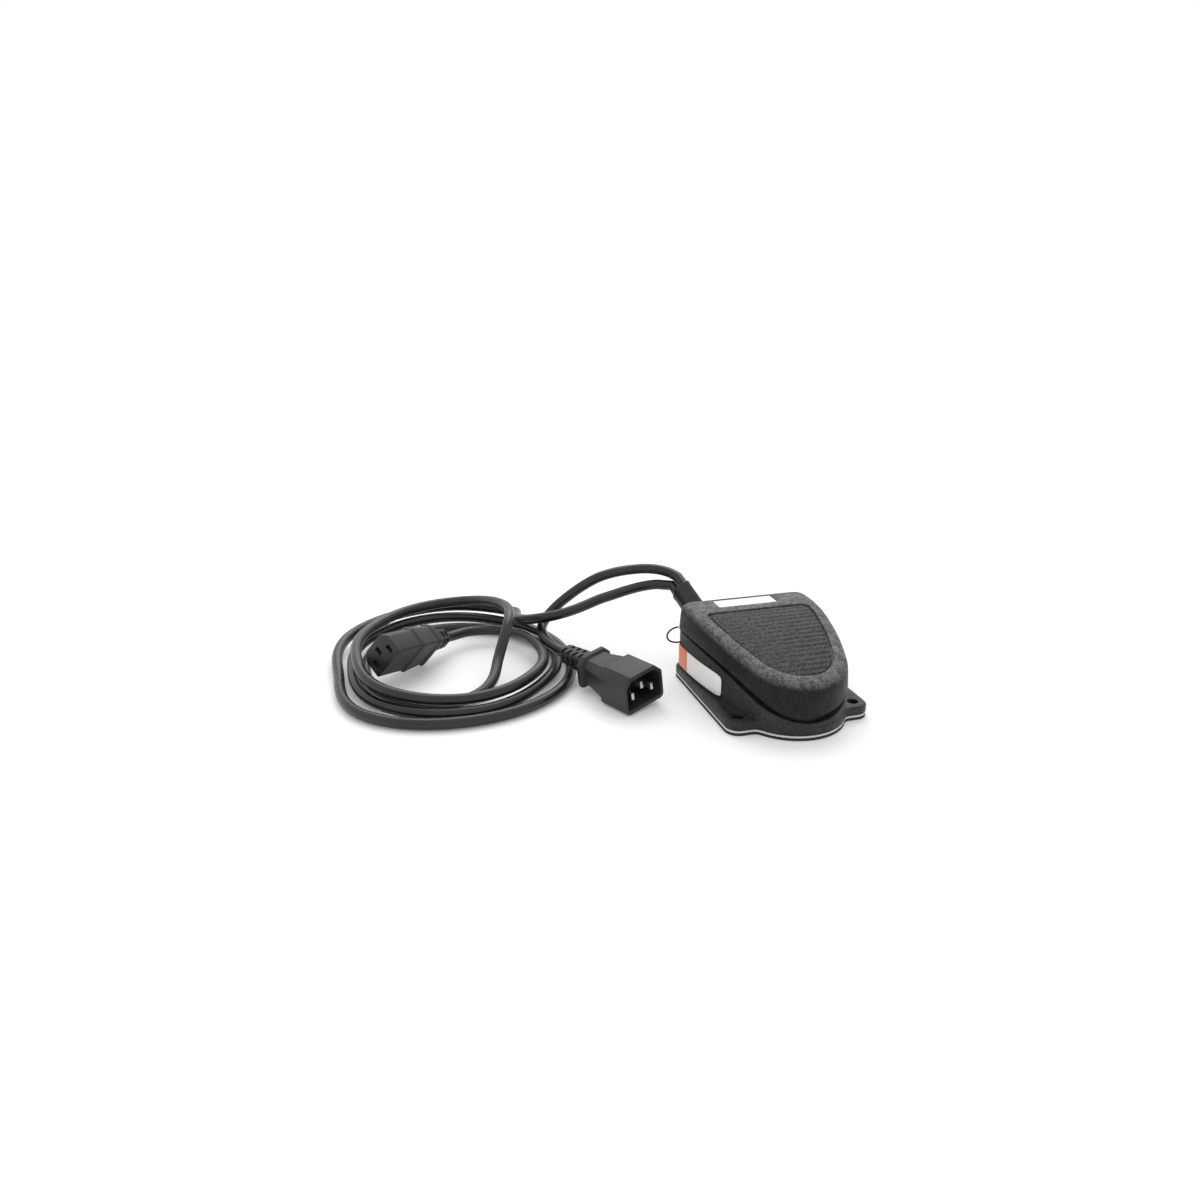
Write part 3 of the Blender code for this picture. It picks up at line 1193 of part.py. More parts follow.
def ribbed_relief(start, end, matrix):
    """A tapered strain relief with grooves round it."""
    profile = [(RELIEF_ROOT_RADIUS, start)]
    pitch = (end - start) / (RELIEF_RIBS + 1)
    for i in range(RELIEF_RIBS):
        z = start + pitch * (i + RELIEF_RIB_SHARE)
        groove_end = start + pitch * (i + 1)
        share = (z - start) / (end - start)
        radius = RELIEF_ROOT_RADIUS + (RELIEF_TIP_RADIUS - RELIEF_ROOT_RADIUS) * share
        profile += [(radius, z), (radius - RELIEF_GROOVE, z),
                    (radius - RELIEF_GROOVE, groove_end), (radius, groove_end)]
    profile.append((RELIEF_TIP_RADIUS, end))
    return turned("relief", profile, matrix=matrix, steps=14)


def half_box(name, size, place, bottom, top, look=None, matrix=None):
    """A box about a place on a face, size across x and y."""
    x, y = place
    return box(name, (x - size[0] / 2, y - size[1] / 2, bottom),
               (x + size[0] / 2, y + size[1] / 2, top), look, matrix)


def moulded_body(name, stations, matrix):
    """A moulded body through (z, (half width, half height), chamfer, corner) stations."""
    rings = [lifted(chamfered(*size, chamfer, corner), z) for z, size, chamfer, corner in stations]
    return loft(name, rings, BLACK_VINYL, matrix)


def plug():
    """The plug: a shrouded body with its strain relief, and three blades in the cavity."""
    matrix = plug_frame()
    face = (PLUG_HALF_WIDTH, PLUG_HALF_HEIGHT)
    shoulder = PLUG_SHROUD_LENGTH + PLUG_CORNER
    collar_end = PLUG_NECK_AT + PLUG_COLLAR_LENGTH
    slim = PLUG_CHAMFER / 2
    body = moulded_body("plug_body", (
        (0.0, face, PLUG_CHAMFER, PLUG_CORNER),
        (PLUG_SHROUD_LENGTH, face, PLUG_CHAMFER, PLUG_CORNER),
        (shoulder, PLUG_GRIP_SIZE, PLUG_CHAMFER, PLUG_CORNER),
        (PLUG_NECK_AT, PLUG_NECK_SIZE, slim, PLUG_CORNER),
        (PLUG_NECK_AT, PLUG_COLLAR_SIZE, slim, PLUG_CORNER),
        (collar_end, PLUG_COLLAR_SIZE, slim, PLUG_CORNER),
    ), matrix)
    cavity = chamfered(*PLUG_CAVITY_SIZE, PLUG_CAVITY_CHAMFER, PLUG_CORNER / 2)
    cut(body, prism("cavity", cavity, -GAP, PLUG_CAVITY_DEPTH, matrix=matrix))
    unite(body, ribbed_relief(collar_end - GAP, collar_end + RELIEF_LENGTH, matrix))
    for kind, x, y in contact_places():
        pocket = [side + 2 * GAP for side in PIN_SIZE]
        cut(body, half_box("pocket", pocket, (x, y), PLUG_CAVITY_DEPTH - GAP,
                           PLUG_CAVITY_DEPTH + PIN_ROOT + GAP, matrix=matrix))
        half_box(f"plug_pin_{kind}", PIN_SIZE, (x, y), PIN_SETBACK,
                 PLUG_CAVITY_DEPTH + PIN_ROOT, BRASS, matrix)


def socket():
    """The socket: a body that fits the plug's cavity, three slots, contacts and a relief."""
    matrix = socket_frame()
    nose = (SOCKET_HALF_WIDTH, SOCKET_HALF_HEIGHT)
    shoulder = SOCKET_NOSE_LENGTH + SOCKET_GRIP_CORNER / 2
    collar_end = SOCKET_NECK_AT + SOCKET_COLLAR_LENGTH
    grip = SOCKET_GRIP_CORNER
    body = moulded_body("socket_body", (
        (0.0, nose, SOCKET_CHAMFER, SOCKET_CORNER),
        (SOCKET_NOSE_LENGTH, nose, SOCKET_CHAMFER, SOCKET_CORNER),
        (shoulder, SOCKET_GRIP_SIZE, SOCKET_CHAMFER, grip),
        (SOCKET_NECK_AT, SOCKET_NECK_SIZE, SOCKET_CHAMFER / 2, grip),
        (SOCKET_NECK_AT, SOCKET_COLLAR_SIZE, SOCKET_CHAMFER / 2, grip),
        (collar_end, SOCKET_COLLAR_SIZE, SOCKET_CHAMFER / 2, grip),
    ), matrix)
    unite(body, ribbed_relief(collar_end - GAP, collar_end + SOCKET_RELIEF_LENGTH, matrix))
    for kind, x, y in contact_places():
        cut(body, half_box("slot", SLOT_SIZE, (x, y), -GAP, SLOT_DEPTH, matrix=matrix))
        half_box(f"socket_contact_{kind}", CONTACT_SIZE, (x, y), CONTACT_SETBACK,
                 SLOT_DEPTH - GAP, BRASS, matrix)


# ---------------------------------------------------------------------------------------------
# Cords
# ---------------------------------------------------------------------------------------------

def cord_mouth(side):
    """A cord's first two points, straight out of the sleeve."""
    start = sleeve_length() + GAP
    offset = side * CORD_PAIR_OFFSET
    return [sleeve_point(0, offset, start), sleeve_point(0, offset, start + CORD_DIAMETER)]


def cord_end(matrix, length):
    """A cord's last two points, straight into a strain relief whose tip is at length."""
    return [matrix @ Vector((0, 0, length + GAP + CORD_DIAMETER)),
            matrix @ Vector((0, 0, length + GAP))]


def coil_points():
    """Points round the coil, from its reach and height at every eighth of a turn."""
    stations = [pair for reach, height in zip(COIL_REACH, COIL_HEIGHT)
                for pair in zip(reach, height)]

    def blended(a, b, c, d, t):
        return 0.5 * (2 * b + (c - a) * t + (2 * a - 5 * b + 4 * c - d) * t ** 2
                      + (3 * b - a - 3 * c + d) * t ** 3)

    count = round((COIL_END - COIL_START) / 360 * COIL_POINTS_PER_LOOP)
    points = []
    for k in range(count + 1):
        turn = COIL_START + (COIL_END - COIL_START) * k / count
        i = int(turn // 45)
        near = [stations[min(max(j, 0), len(stations) - 1)] for j in range(i - 1, i + 3)]
        reach, height = (blended(*values, turn / 45 - i) for values in zip(*near))
        angle = radians(turn)
        points.append(Vector((COIL_CENTRE[0] + reach * cos(angle),
                              COIL_CENTRE[1] + reach * sin(angle), height)))
    return points


def cords():
    """The supply cord, and the load cord's free run and coil."""
    step = 2 * CORD_DIAMETER
    mouth = cord_mouth(1)
    plug_length = PLUG_NECK_AT + PLUG_COLLAR_LENGTH + RELIEF_LENGTH
    end = cord_end(plug_frame(), plug_length)
    middle = smooth_route([mouth[1], *SUPPLY_ROUTE, end[0]], step)
    supply = [mouth[0], *middle, end[1]]
    tube("supply_cord", supply, CORD_RADIUS, BLACK_VINYL)

    mouth = cord_mouth(-1)
    coil = coil_points()
    socket_length = SOCKET_NECK_AT + SOCKET_COLLAR_LENGTH + SOCKET_RELIEF_LENGTH
    coil += cord_end(socket_frame(), socket_length)
    run = [mouth[0], *smooth_route([mouth[1], *LOAD_ROUTE, coil[0]], step)[:-1]]
    along = (coil[0] - run[-1]).normalized()
    seam = (coil[0] + run[-1]) / 2
    run.append(seam - along * GAP / 2)
    coil.insert(0, seam + along * GAP / 2)
    tube("load_cord_run", run, CORD_RADIUS, BLACK_VINYL)
    tube("load_cord_coil", coil, CORD_RADIUS, BLACK_VINYL, 1)

    print(f"supply cord: {length_of(supply):.3f} m")
    print(f"load cord: {length_of(run) + length_of(coil):.3f} m")
    print(f"load_cord_coil: least gap to itself {least_gap(coil, CORD_DIAMETER) * 1000:.2f} mm")


# ---------------------------------------------------------------------------------------------
# The whole object
# ---------------------------------------------------------------------------------------------

def finish_surfaces():
    """Shade rounded faces smooth and keep real edges sharp."""
    for piece in bpy.data.objects:
        if piece.type == "MESH":
            piece.data.shade_smooth()
            piece.data.set_sharp_from_angle(angle=radians(32))


def main():
    """Model every piece and hang the moving ones on their joints."""
    for old in list(bpy.data.objects):
        bpy.data.objects.remove(old)
    base_casting()
    layers()
    cover = treadle_cover()
    plate = nameplate()
    side_label("label_orange", LABEL_SEAM + GAP / 2, LABEL_BACK, ORANGE_LABEL)
    side_label("label_white", LABEL_FRONT, LABEL_SEAM - GAP / 2, WHITE_LABEL, LABEL_CORNER)
    hinge_pin()
    return_spring()
    switch_body()
    switch_terminals()
    switch_bracket()
    fasteners()
    stud, nut = actuator()
    lever = switch_lever()
    plunger = switch_plunger()
    cord_sleeve()
    inner_leads()
    neutral_splice()
    earth_lug()
    bonding_wire()
    plug()
    socket()
    cords()
    ride(guide("treadle_hinge", Vector((0, PIVOT_Y, PIVOT_Z))), cover, plate, stud, nut)
    ride(guide("lever_hinge", Vector((SWITCH_X, LEVER_HINGE_Y, LEVER_HINGE_Z))), lever)
    ride(guide("plunger_slide", Vector((SWITCH_X, LEVER_HINGE_Y - PLUNGER_OFFSET, SWITCH_TOP))),
         plunger)
    finish_surfaces()


if __name__ == "__main__":
    main()
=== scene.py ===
"""Foot switch with two mains cords: finish, detail, light and camera over its fixed frame.

Units are metres and +Z is up. The treadle's toe points to -Y and the cords leave its heel at +Y.
"""

import json
import logging
from collections.abc import Callable, Sequence
from dataclasses import dataclass
from enum import Enum
from math import cos, pi, radians, sin

import bpy
from mathutils import Matrix, Vector

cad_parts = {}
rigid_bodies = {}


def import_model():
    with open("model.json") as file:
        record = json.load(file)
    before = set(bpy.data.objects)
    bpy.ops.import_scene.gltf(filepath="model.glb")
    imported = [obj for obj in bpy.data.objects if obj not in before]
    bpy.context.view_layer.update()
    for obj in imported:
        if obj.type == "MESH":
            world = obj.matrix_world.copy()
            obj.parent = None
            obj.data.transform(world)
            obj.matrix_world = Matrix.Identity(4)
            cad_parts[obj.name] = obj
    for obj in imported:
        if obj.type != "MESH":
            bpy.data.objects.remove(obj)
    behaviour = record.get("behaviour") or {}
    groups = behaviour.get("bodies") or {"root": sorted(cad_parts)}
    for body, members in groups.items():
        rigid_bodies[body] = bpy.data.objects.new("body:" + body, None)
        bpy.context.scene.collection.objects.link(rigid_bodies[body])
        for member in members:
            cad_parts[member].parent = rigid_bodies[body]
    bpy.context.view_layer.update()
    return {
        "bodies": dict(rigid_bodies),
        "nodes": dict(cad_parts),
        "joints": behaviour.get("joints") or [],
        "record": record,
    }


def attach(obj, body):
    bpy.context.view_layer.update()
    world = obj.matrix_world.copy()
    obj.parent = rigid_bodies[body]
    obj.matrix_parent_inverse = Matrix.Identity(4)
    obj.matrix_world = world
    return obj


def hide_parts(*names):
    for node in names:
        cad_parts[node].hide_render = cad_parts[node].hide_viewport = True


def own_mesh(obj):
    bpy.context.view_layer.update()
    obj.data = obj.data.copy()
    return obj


LOG = logging.getLogger("foot_switch")
UP = Vector((0.0, 0.0, 1.0))
SEAM = 0.0003                     # gap between pieces that touch
WELD = 0.000004                   # distance within which a node's corners are one
FLAT_ANGLE = 0.4                  # degrees up to which a node's triangles are one face
CREASE = 30.0                     # degrees over which an edge is rounded
ROUND_CREASE = 40.0               # the same on a piece that is round across
CURVE_STEPS = 16                  # fine points between two places of a route
CORD_ROUNDNESS = 5                # bevel resolution of a cord

Colour = tuple[float, float, float]      # red, green and blue
Place = tuple[float, float, float]       # X, Y and Z
Station = tuple[float, float, float]     # height, half width and half height


class Body(Enum):
    """The bodies of the frame that pieces ride on."""

    BASE = "base"
    TREADLE = "treadle"
    LEVER = "lever"
    PLUNGER = "plunger"


class Slot(Enum):
    """The record's material slots."""

    CASTING = "black_casting"
    RUBBER = "black_rubber"
    VINYL = "black_vinyl"
    FOAM = "white_foam"
    WHITE = "white_label"
    ORANGE = "orange_label"
    STEEL = "steel"
    BRASS = "brass"
    LIVE = "brown_lead"
    NEUTRAL = "blue_lead"
    EARTH = "green_lead"


# ---------------------------------------------------------------------------------------------
# Shader maths
# ---------------------------------------------------------------------------------------------

class Signal:
    """A number that changes over a surface; the usual operators add Math nodes to it."""

    def __init__(self, nodes: "Nodes", socket: bpy.types.NodeSocket) -> None:
        """Wrap one output socket.

        Args:
            nodes: The tree that the socket belongs to.
            socket: The output that carries the number.
        """
        self.nodes = nodes
        self.socket = socket

    def _math(self, operation: str, left: "Signal | float",
              right: "Signal | bpy.types.NodeSocket | float") -> "Signal":
        """Add one Math node.

        Args:
            operation: The node's operation.
            left: Its first value.
            right: Its second value.

        Returns:
            The node's result.
        """
        node = self.nodes.node("ShaderNodeMath", {"operation": operation}, {0: left, 1: right})
        return Signal(self.nodes, node.outputs[0])

    def __add__(self, other: "Signal | float") -> "Signal":
        """Sum."""
        return self._math("ADD", self, other)

    def __radd__(self, other: float) -> "Signal":
        """Sum, number first."""
        return self._math("ADD", other, self)

    def __sub__(self, other: "Signal | float") -> "Signal":
        """Difference."""
        return self._math("SUBTRACT", self, other)

    def __rsub__(self, other: float) -> "Signal":
        """Difference, number first."""
        return self._math("SUBTRACT", other, self)

    def __mul__(self, other: "Signal | float") -> "Signal":
        """Product."""
        return self._math("MULTIPLY", self, other)

    def __rmul__(self, other: float) -> "Signal":
        """Product, number first."""
        return self._math("MULTIPLY", other, self)

    def __pow__(self, other: float) -> "Signal":
        """Power."""
        return self._math("POWER", self, other)

    def over(self, limit: float, width: float) -> "Signal":
        """A soft step.

        Args:
            limit: The value at which the step starts.
            width: How much more the value needs to reach 1.

        Returns:
            0 below the limit, rising to 1.
        """
        settings = {"interpolation_type": "SMOOTHSTEP"}
        values = {"Value": self, "From Min": limit, "From Max": limit + width}
        node = self.nodes.node("ShaderNodeMapRange", settings, values)
        return Signal(self.nodes, node.outputs[0])

    def highest(self, other: "Signal | bpy.types.NodeSocket | float") -> "Signal":
        """The higher of two values."""
        return self._math("MAXIMUM", self, other)

    def sine(self) -> "Signal":
        """Sine of the value."""
        return self._math("SINE", self, 0.0)


class Nodes:
    """A node tree that nodes are added to."""

    def __init__(self, tree: bpy.types.NodeTree) -> None:
        """Keep the tree.

        Args:
            tree: The node tree.
        """
        self.tree = tree

    def node(self, kind: str, settings: dict | None = None,
             inputs: dict | None = None) -> bpy.types.Node:
        """Add a node.

        Args:
            kind: The node's type.
            settings: Its settings, set first.
            inputs: Values, signals or sockets for its inputs, by name or number.

        Returns:
            The node.
        """
        made = self.tree.nodes.new(kind)
        for key, value in (settings or {}).items():
            setattr(made, key, value)
        for key, value in (inputs or {}).items():
            self.feed(made.inputs[key], value)
        return made

    def feed(self, socket: bpy.types.NodeSocket, value: object) -> None:
        """Link a signal or a socket to an input, or set its value.

        Args:
            socket: The input.
            value: The signal, the output or the plain value.
        """
        source = value.socket if isinstance(value, Signal) else value
        if isinstance(source, bpy.types.NodeSocket):
            self.tree.links.new(source, socket)
        else:
            socket.default_value = source

    def seen(self) -> Signal:
        """Whether a ray shows what the camera sees.

        Returns:
            1 for what it sees straight, mirrored or through glass, and else 0.
        """
        path = self.node("ShaderNodeLightPath").outputs
        straight = Signal(self, path["Is Camera Ray"])
        return straight.highest(path["Is Glossy Ray"]).highest(path["Is Transmission Ray"])

    @classmethod
    def emptied(cls, tree: bpy.types.NodeTree) -> "Nodes":
        """A tree without the nodes that it starts with."""
        tree.nodes.clear()
        return cls(tree)


class Look(Nodes):
    """One material's nodes round a Principled shader."""

    def __init__(self, name: str) -> None:
        """Start a material.

        Args:
            name: The material's name.
        """
        self.material = bpy.data.materials.new(name)
        self.material.use_nodes = True
        super().__init__(self.material.node_tree)
        self.shader = self.tree.nodes["Principled BSDF"]
        self._place: bpy.types.NodeSocket | None = None

    @property
    def place(self) -> bpy.types.NodeSocket:
        """The point on the object.

        Returns:
            The socket that gives it, in metres.
        """
        if self._place is None:
            self._place = self.node("ShaderNodeTexCoord").outputs["Object"]
        return self._place

    def stretched(self, scale: Sequence[float]) -> bpy.types.NodeSocket:
        """The point on the object, scaled along each axis."""
        node = self.node("ShaderNodeMapping", None, {"Vector": self.place, "Scale": tuple(scale)})
        return node.outputs[0]

    def along(self, axis: str) -> Signal:
        """One coordinate of the point on the object."""
        node = self.node("ShaderNodeSeparateXYZ", None, {0: self.place})
        return Signal(self, node.outputs[axis])

    def noise(self, size: float, detail: float = 2.0, roughness: float = 0.5,
              place: bpy.types.NodeSocket | None = None) -> Signal:
        """Noise.

        Args:
            size: The size of its features, in metres.
            detail: How many finer layers it has.
            roughness: How strong those are.
            place: Where it is read, if not at the point on the object.

        Returns:
            The noise, about 0.5.
        """
        values = {"Vector": place or self.place, "Scale": 1.0 / size, "Detail": detail,
                  "Roughness": roughness}
        return Signal(self, self.node("ShaderNodeTexNoise", None, values).outputs[0])

    def cells(self, size: float) -> Signal:
        """Distance from the nearest of many scattered points, in cell sizes."""
        values = {"Vector": self.place, "Scale": 1.0 / size}
        return Signal(self, self.node("ShaderNodeTexVoronoi", None, values).outputs["Distance"])

    def between(self, factor: Signal, low: Sequence[float],
                high: Sequence[float]) -> bpy.types.NodeSocket:
        """A colour between two colours.

        Args:
            factor: 0 for the first and 1 for the second.
            low: The first colour.
            high: The second colour.

        Returns:
            The colour. The node's colour sockets are 6 and 7 in and 2 out.
        """
        settings = {"data_type": "RGBA", "clamp_factor": True}
        node = self.node("ShaderNodeMix", settings, {0: factor, 6: (*low, 1.0), 7: (*high, 1.0)})
        return node.outputs[2]

    def relief(self, height: Signal, depth: float) -> None:
        """Raise the surface by a height of 0 to 1, depth metres deep."""
        node = self.node("ShaderNodeBump", None, {"Height": height, "Distance": depth})
        self.feed(self.shader.inputs["Normal"], node.outputs[0])

    def set(self, **values: object) -> None:
        """Feed the shader's inputs, named with _ for a space."""
        for key, value in values.items():
            self.feed(self.shader.inputs[key.replace("_", " ")], value)


# ---------------------------------------------------------------------------------------------
# Finishes
# ---------------------------------------------------------------------------------------------

@dataclass(frozen=True)
class CrestLine:
    """The treadle's crest: level over the heel, and falling ever faster to the toe.

    Attributes:
        level: Its height over the heel.
        start: Y where it starts to fall.
        length: How far it falls along -Y.
        drop: How much lower it is at the toe.
        power: Power of the fall.
    """

    level: float = 0.0445
    start: float = 0.0270
    length: float = 0.0766
    drop: float = 0.0142
    power: float = 1.35

    def height(self, y: float) -> float:
        """Its height at y."""
        share = max(self.start - y, 0.0) / self.length
        return self.level - self.drop * share ** self.power


@dataclass(frozen=True)
class WrinkleCoat:
    """Black wrinkle powder coat over a sand casting.

    Attributes:
        name: The material's name.
        low: Colour in the wrinkles.
        high: Colour on their crests.
        wrinkle: Size of one wrinkle.
        grain: Size of the casting's grain under the coat.
        shares: Shares of the wrinkles and of the grain in the height.
        crests: Height where the crests start, and how much more makes a full one.
        depth: Depth of the wrinkles.
        rough: Roughness of the crests.
        rough_folds: How much rougher the wrinkles are.
        gloss: How much the coat mirrors, where 0.5 is plain plastic.
    """

    name: str = "wrinkle_coat"
    low: Colour = (0.004, 0.004, 0.004)
    high: Colour = (0.028, 0.028, 0.029)
    wrinkle: float = 0.0011
    grain: float = 0.0042
    shares: tuple[float, float] = (0.75, 0.35)
    crests: tuple[float, float] = (0.40, 0.32)
    depth: float = 0.00030
    rough: float = 0.36
    rough_folds: float = 0.22
    gloss: float = 0.35

    def crest_highlight(self, look: Look, crests: Signal, height: Signal) -> tuple[Signal, Signal]:
        """The crests' colour share and the height, here as they are, with no painted crest
        highlight.
        """
        return crests, height

    def make(self) -> bpy.types.Material:
        """Build the material.

        Returns:
            The material.
        """
        look = Look(self.name)
        folds = look.noise(self.wrinkle, detail=3.0, roughness=0.6)
        height = folds * self.shares[0] + look.noise(self.grain) * self.shares[1]
        crests, relief = self.crest_highlight(look, height.over(*self.crests), height)
        look.set(Base_Color=look.between(crests, self.low, self.high),
                 Roughness=self.rough + (1.0 - folds) * self.rough_folds,
                 Specular_IOR_Level=self.gloss)
        look.relief(relief, self.depth)
        return look.material


@dataclass(frozen=True)
class TreadleCoat(WrinkleCoat):
    """The same coat on the treadle, with a painted highlight along its crest, where its grain
    also shows more.

    Attributes:
        crest: The line of the treadle's crest.
        shoulder: How far below the crest the coat is plain.
        rise: Share of the shoulder over which the painted highlight and the deeper relief set in.
        highlight_share: The crests' share on plain coat, what the painted crest highlight adds to
            it, and the highlight's own colour share.
        relief_share: The height's share on plain coat, and what the crest band adds to it.
    """

    name: str = "treadle_coat"
    # The colour of the crest's painted highlight, which the wrinkles' crests also take.
    high: Colour = (0.180, 0.180, 0.182)
    depth: float = 0.00050
    gloss: float = 0.18
    crest: CrestLine = CrestLine()
    shoulder: float = 0.0042
    rise: float = 0.9
    highlight_share: tuple[float, float, float] = (0.08, 0.75, 0.20)
    relief_share: tuple[float, float] = (0.35, 0.65)

    def crest_highlight(self, look: Look, crests: Signal, height: Signal) -> tuple[Signal, Signal]:
        """The crests' colour share and the height, with a painted highlight and deeper relief
        near the treadle's crest.

        Args:
            look: The material's nodes.
            crests: The share of the crests' colour.
            height: The coat's height.

        Returns:
            Both, with the painted crest highlight and the deeper relief.
        """
        line = self.crest
        share = (line.start - look.along("Y")).highest(0.0) * (1.0 / line.length)
        level = look.along("Z") + share ** line.power * line.drop
        # Band just under the crest: painted highlight in the colour, deeper relief in the height.
        band = level.over(line.level - self.shoulder, self.rise * self.shoulder)
        plain, added, own = self.highlight_share
        shallow, deeper = self.relief_share
        return crests * (band * added + plain) + band * own, height * (band * deeper + shallow)


@dataclass(frozen=True)
class TreadGrip:
    """The tread's cast grip: rows of small studs under the same coat.

    Attributes:
        name: The material's name.
        low: Colour between the studs.
        high: Colour on the studs.
        row: Distance from row to row.
        column: Distance from stud to stud in a row.
        sway: Size of the rows' unevenness.
        sway_turn: How far it shifts a row and a column, in radians.
        cut: Share of a stud that its row has, and share that its column cuts out of it.
        band: X where the studs start to stand out more, and how much further they do so in full.
        studs: The studs' height at -X, and what +X adds to it.
        grit: Size of the coat's grit.
        grit_height: The grit's height.
        base_height: Height of the plain tread.
        crests: Height where the lighter colour starts, and how much more makes it full.
        depth: Height of the relief.
        rough: Roughness of the grit's crests.
        rough_grit: How much rougher its hollows are.
        gloss: How much the coat mirrors.
    """

    name: str = "tread_grip"
    low: Colour = (0.008, 0.008, 0.009)
    high: Colour = (0.082, 0.082, 0.083)
    row: float = 0.0038
    column: float = 0.0026
    sway: float = 0.005
    sway_turn: tuple[float, float] = (3.0, 4.5)
    cut: tuple[float, float] = (0.375, 0.125)
    band: tuple[float, float] = (-0.020, 0.045)
    studs: tuple[float, float] = (0.08, 0.18)
    grit: float = 0.0014
    grit_height: float = 0.8
    base_height: float = 0.11
    crests: tuple[float, float] = (0.34, 0.34)
    depth: float = 0.00055
    rough: float = 0.50
    rough_grit: float = 0.2
    gloss: float = 0.2

    def make(self) -> bpy.types.Material:
        """Build the material.

        Returns:
            The material.
        """
        look = Look(self.name)
        sway = look.noise(self.sway, detail=1.0) - 0.5
        rows = (look.along("Y") * (2 * pi / self.row) + sway * self.sway_turn[0]).sine()
        columns = (look.along("X") * (2 * pi / self.column) + sway * self.sway_turn[1]).sine()
        studs = rows * self.cut[0] + rows * columns * self.cut[1]
        # Studs stand higher towards +X, which also makes them lighter and their relief deeper
        # there.
        stand = look.along("X").over(*self.band) * self.studs[1] + self.studs[0]
        grit = look.noise(self.grit, detail=3.0, roughness=0.65)
        height = studs * stand + grit * self.grit_height + self.base_height
        look.set(Base_Color=look.between(height.over(*self.crests), self.low, self.high),
                 Roughness=self.rough + (1.0 - grit) * self.rough_grit,
                 Specular_IOR_Level=self.gloss)
        look.relief(height, self.depth)
        return look.material


@dataclass(frozen=True)
class MouldedVinyl:
    """Soft black vinyl, as on cords, plugs and their strain reliefs.

    Attributes:
        name: The material's name.
        low: Its darker colour.
        high: Its lighter, slightly dusty colour.
        pores: Size of the moulded texture.
        depth: Depth of the moulded texture.
        rough: Its mean roughness.
        dust: Size of the dusty patches.
        dusty: Noise where the dust starts, and how much more makes it full.
        rough_dust: How much the patches change the roughness.
        rough_pores: How much the texture changes it.
    """

    name: str
    low: Colour = (0.014, 0.014, 0.015)
    high: Colour = (0.026, 0.026, 0.027)
    pores: float = 0.0006
    depth: float = 0.00003
    rough: float = 0.42
    dust: float = 0.012
    dusty: tuple[float, float] = (0.35, 0.4)
    rough_dust: float = 0.25
    rough_pores: float = 0.12

    def make(self) -> bpy.types.Material:
        """Build the material.

        Returns:
            The material.
        """
        look = Look(self.name)
        dust = look.noise(self.dust, detail=4.0, roughness=0.6)
        pores = look.noise(self.pores)
        look.set(Base_Color=look.between(dust.over(*self.dusty), self.low, self.high),
                 Roughness=self.rough + (dust - 0.5) * self.rough_dust
                 + (pores - 0.5) * self.rough_pores)
        look.relief(pores, self.depth)
        return look.material


@dataclass(frozen=True)
class PadRubber:
    """Black rubber sheet with a fine matt surface.

    Attributes:
        name: The material's name.
        colour: Its colour.
        worn: Its lighter, worn colour.
        patch: Size of the worn patches.
        band: Noise where the wear starts, and how much more makes it full.
        fine: Size of the surface's texture.
        depth: Depth of that texture.
        rough: Its mean roughness.
        rough_patch: How much the patches change the roughness.
    """

    name: str = "pad_rubber"
    colour: Colour = (0.014, 0.014, 0.014)
    worn: Colour = (0.03, 0.03, 0.029)
    patch: float = 0.008
    band: tuple[float, float] = (0.45, 0.3)
    fine: float = 0.0005
    depth: float = 0.00004
    rough: float = 0.72
    rough_patch: float = 0.2

    def make(self) -> bpy.types.Material:
        """Build the material.

        Returns:
            The material.
        """
        look = Look(self.name)
        patches = look.noise(self.patch, detail=3.0, roughness=0.6)
        look.set(Base_Color=look.between(patches.over(*self.band), self.colour, self.worn),
                 Roughness=self.rough + (patches - 0.5) * self.rough_patch)
        look.relief(look.noise(self.fine, detail=1.0), self.depth)
        return look.material


@dataclass(frozen=True)
class ClosedFoam:
    """White closed-cell foam with its cut cells showing at the edge.

    Attributes:
        name: The material's name.
        cell: Size of one cell.
        shade: Colour in the cells.
        bright: Colour of their walls.
        depth: Depth of the cells.
        rough: Roughness of their middles.
        rough_cell: How much smoother their walls are.
    """

    name: str = "closed_foam"
    cell: float = 0.0005
    shade: Colour = (0.62, 0.62, 0.60)
    bright: Colour = (0.88, 0.88, 0.87)
    depth: float = 0.00008
    rough: float = 0.85
    rough_cell: float = 0.1

    def make(self) -> bpy.types.Material:
        """Build the material.

        Returns:
            The material.
        """
        look = Look(self.name)
        cells = look.cells(self.cell)
        look.set(Base_Color=look.between(1.0 - cells, self.shade, self.bright),
                 Roughness=self.rough - cells * self.rough_cell)
        look.relief(cells, self.depth)
        return look.material


@dataclass(frozen=True)
class LabelStock:
    """Coated label stock, left blank.

    Attributes:
        name: The material's name.
        colour: The sheet's colour.
        aged: Its colour where it is handled.
        patch: Size of the handled patches.
        age: Noise where the handling shows, and how much more makes it full.
        fibre: Size of the paper's fibres.
        fibre_stretch: How the fibres are stretched along each axis.
        depth: Depth of the fibres.
        patch_height: Height of the patches against the fibres.
        rough: Its mean roughness.
        rough_fibre: How much the fibres change the roughness.
    """

    name: str
    colour: Colour
    aged: Colour
    patch: float = 0.006
    age: tuple[float, float] = (0.5, 0.35)
    fibre: float = 0.0004
    fibre_stretch: Place = (1.0, 0.35, 1.0)
    depth: float = 0.00003
    patch_height: float = 0.5
    rough: float = 0.42
    rough_fibre: float = 0.2

    def make(self) -> bpy.types.Material:
        """Build the material.

        Returns:
            The material.
        """
        look = Look(self.name)
        patches = look.noise(self.patch, detail=3.0, roughness=0.6)
        fibres = look.noise(self.fibre, place=look.stretched(self.fibre_stretch))
        look.set(Base_Color=look.between(patches.over(*self.age), self.colour, self.aged),
                 Roughness=self.rough + (fibres - 0.5) * self.rough_fibre)
        look.relief(fibres + patches * self.patch_height, self.depth)
        return look.material


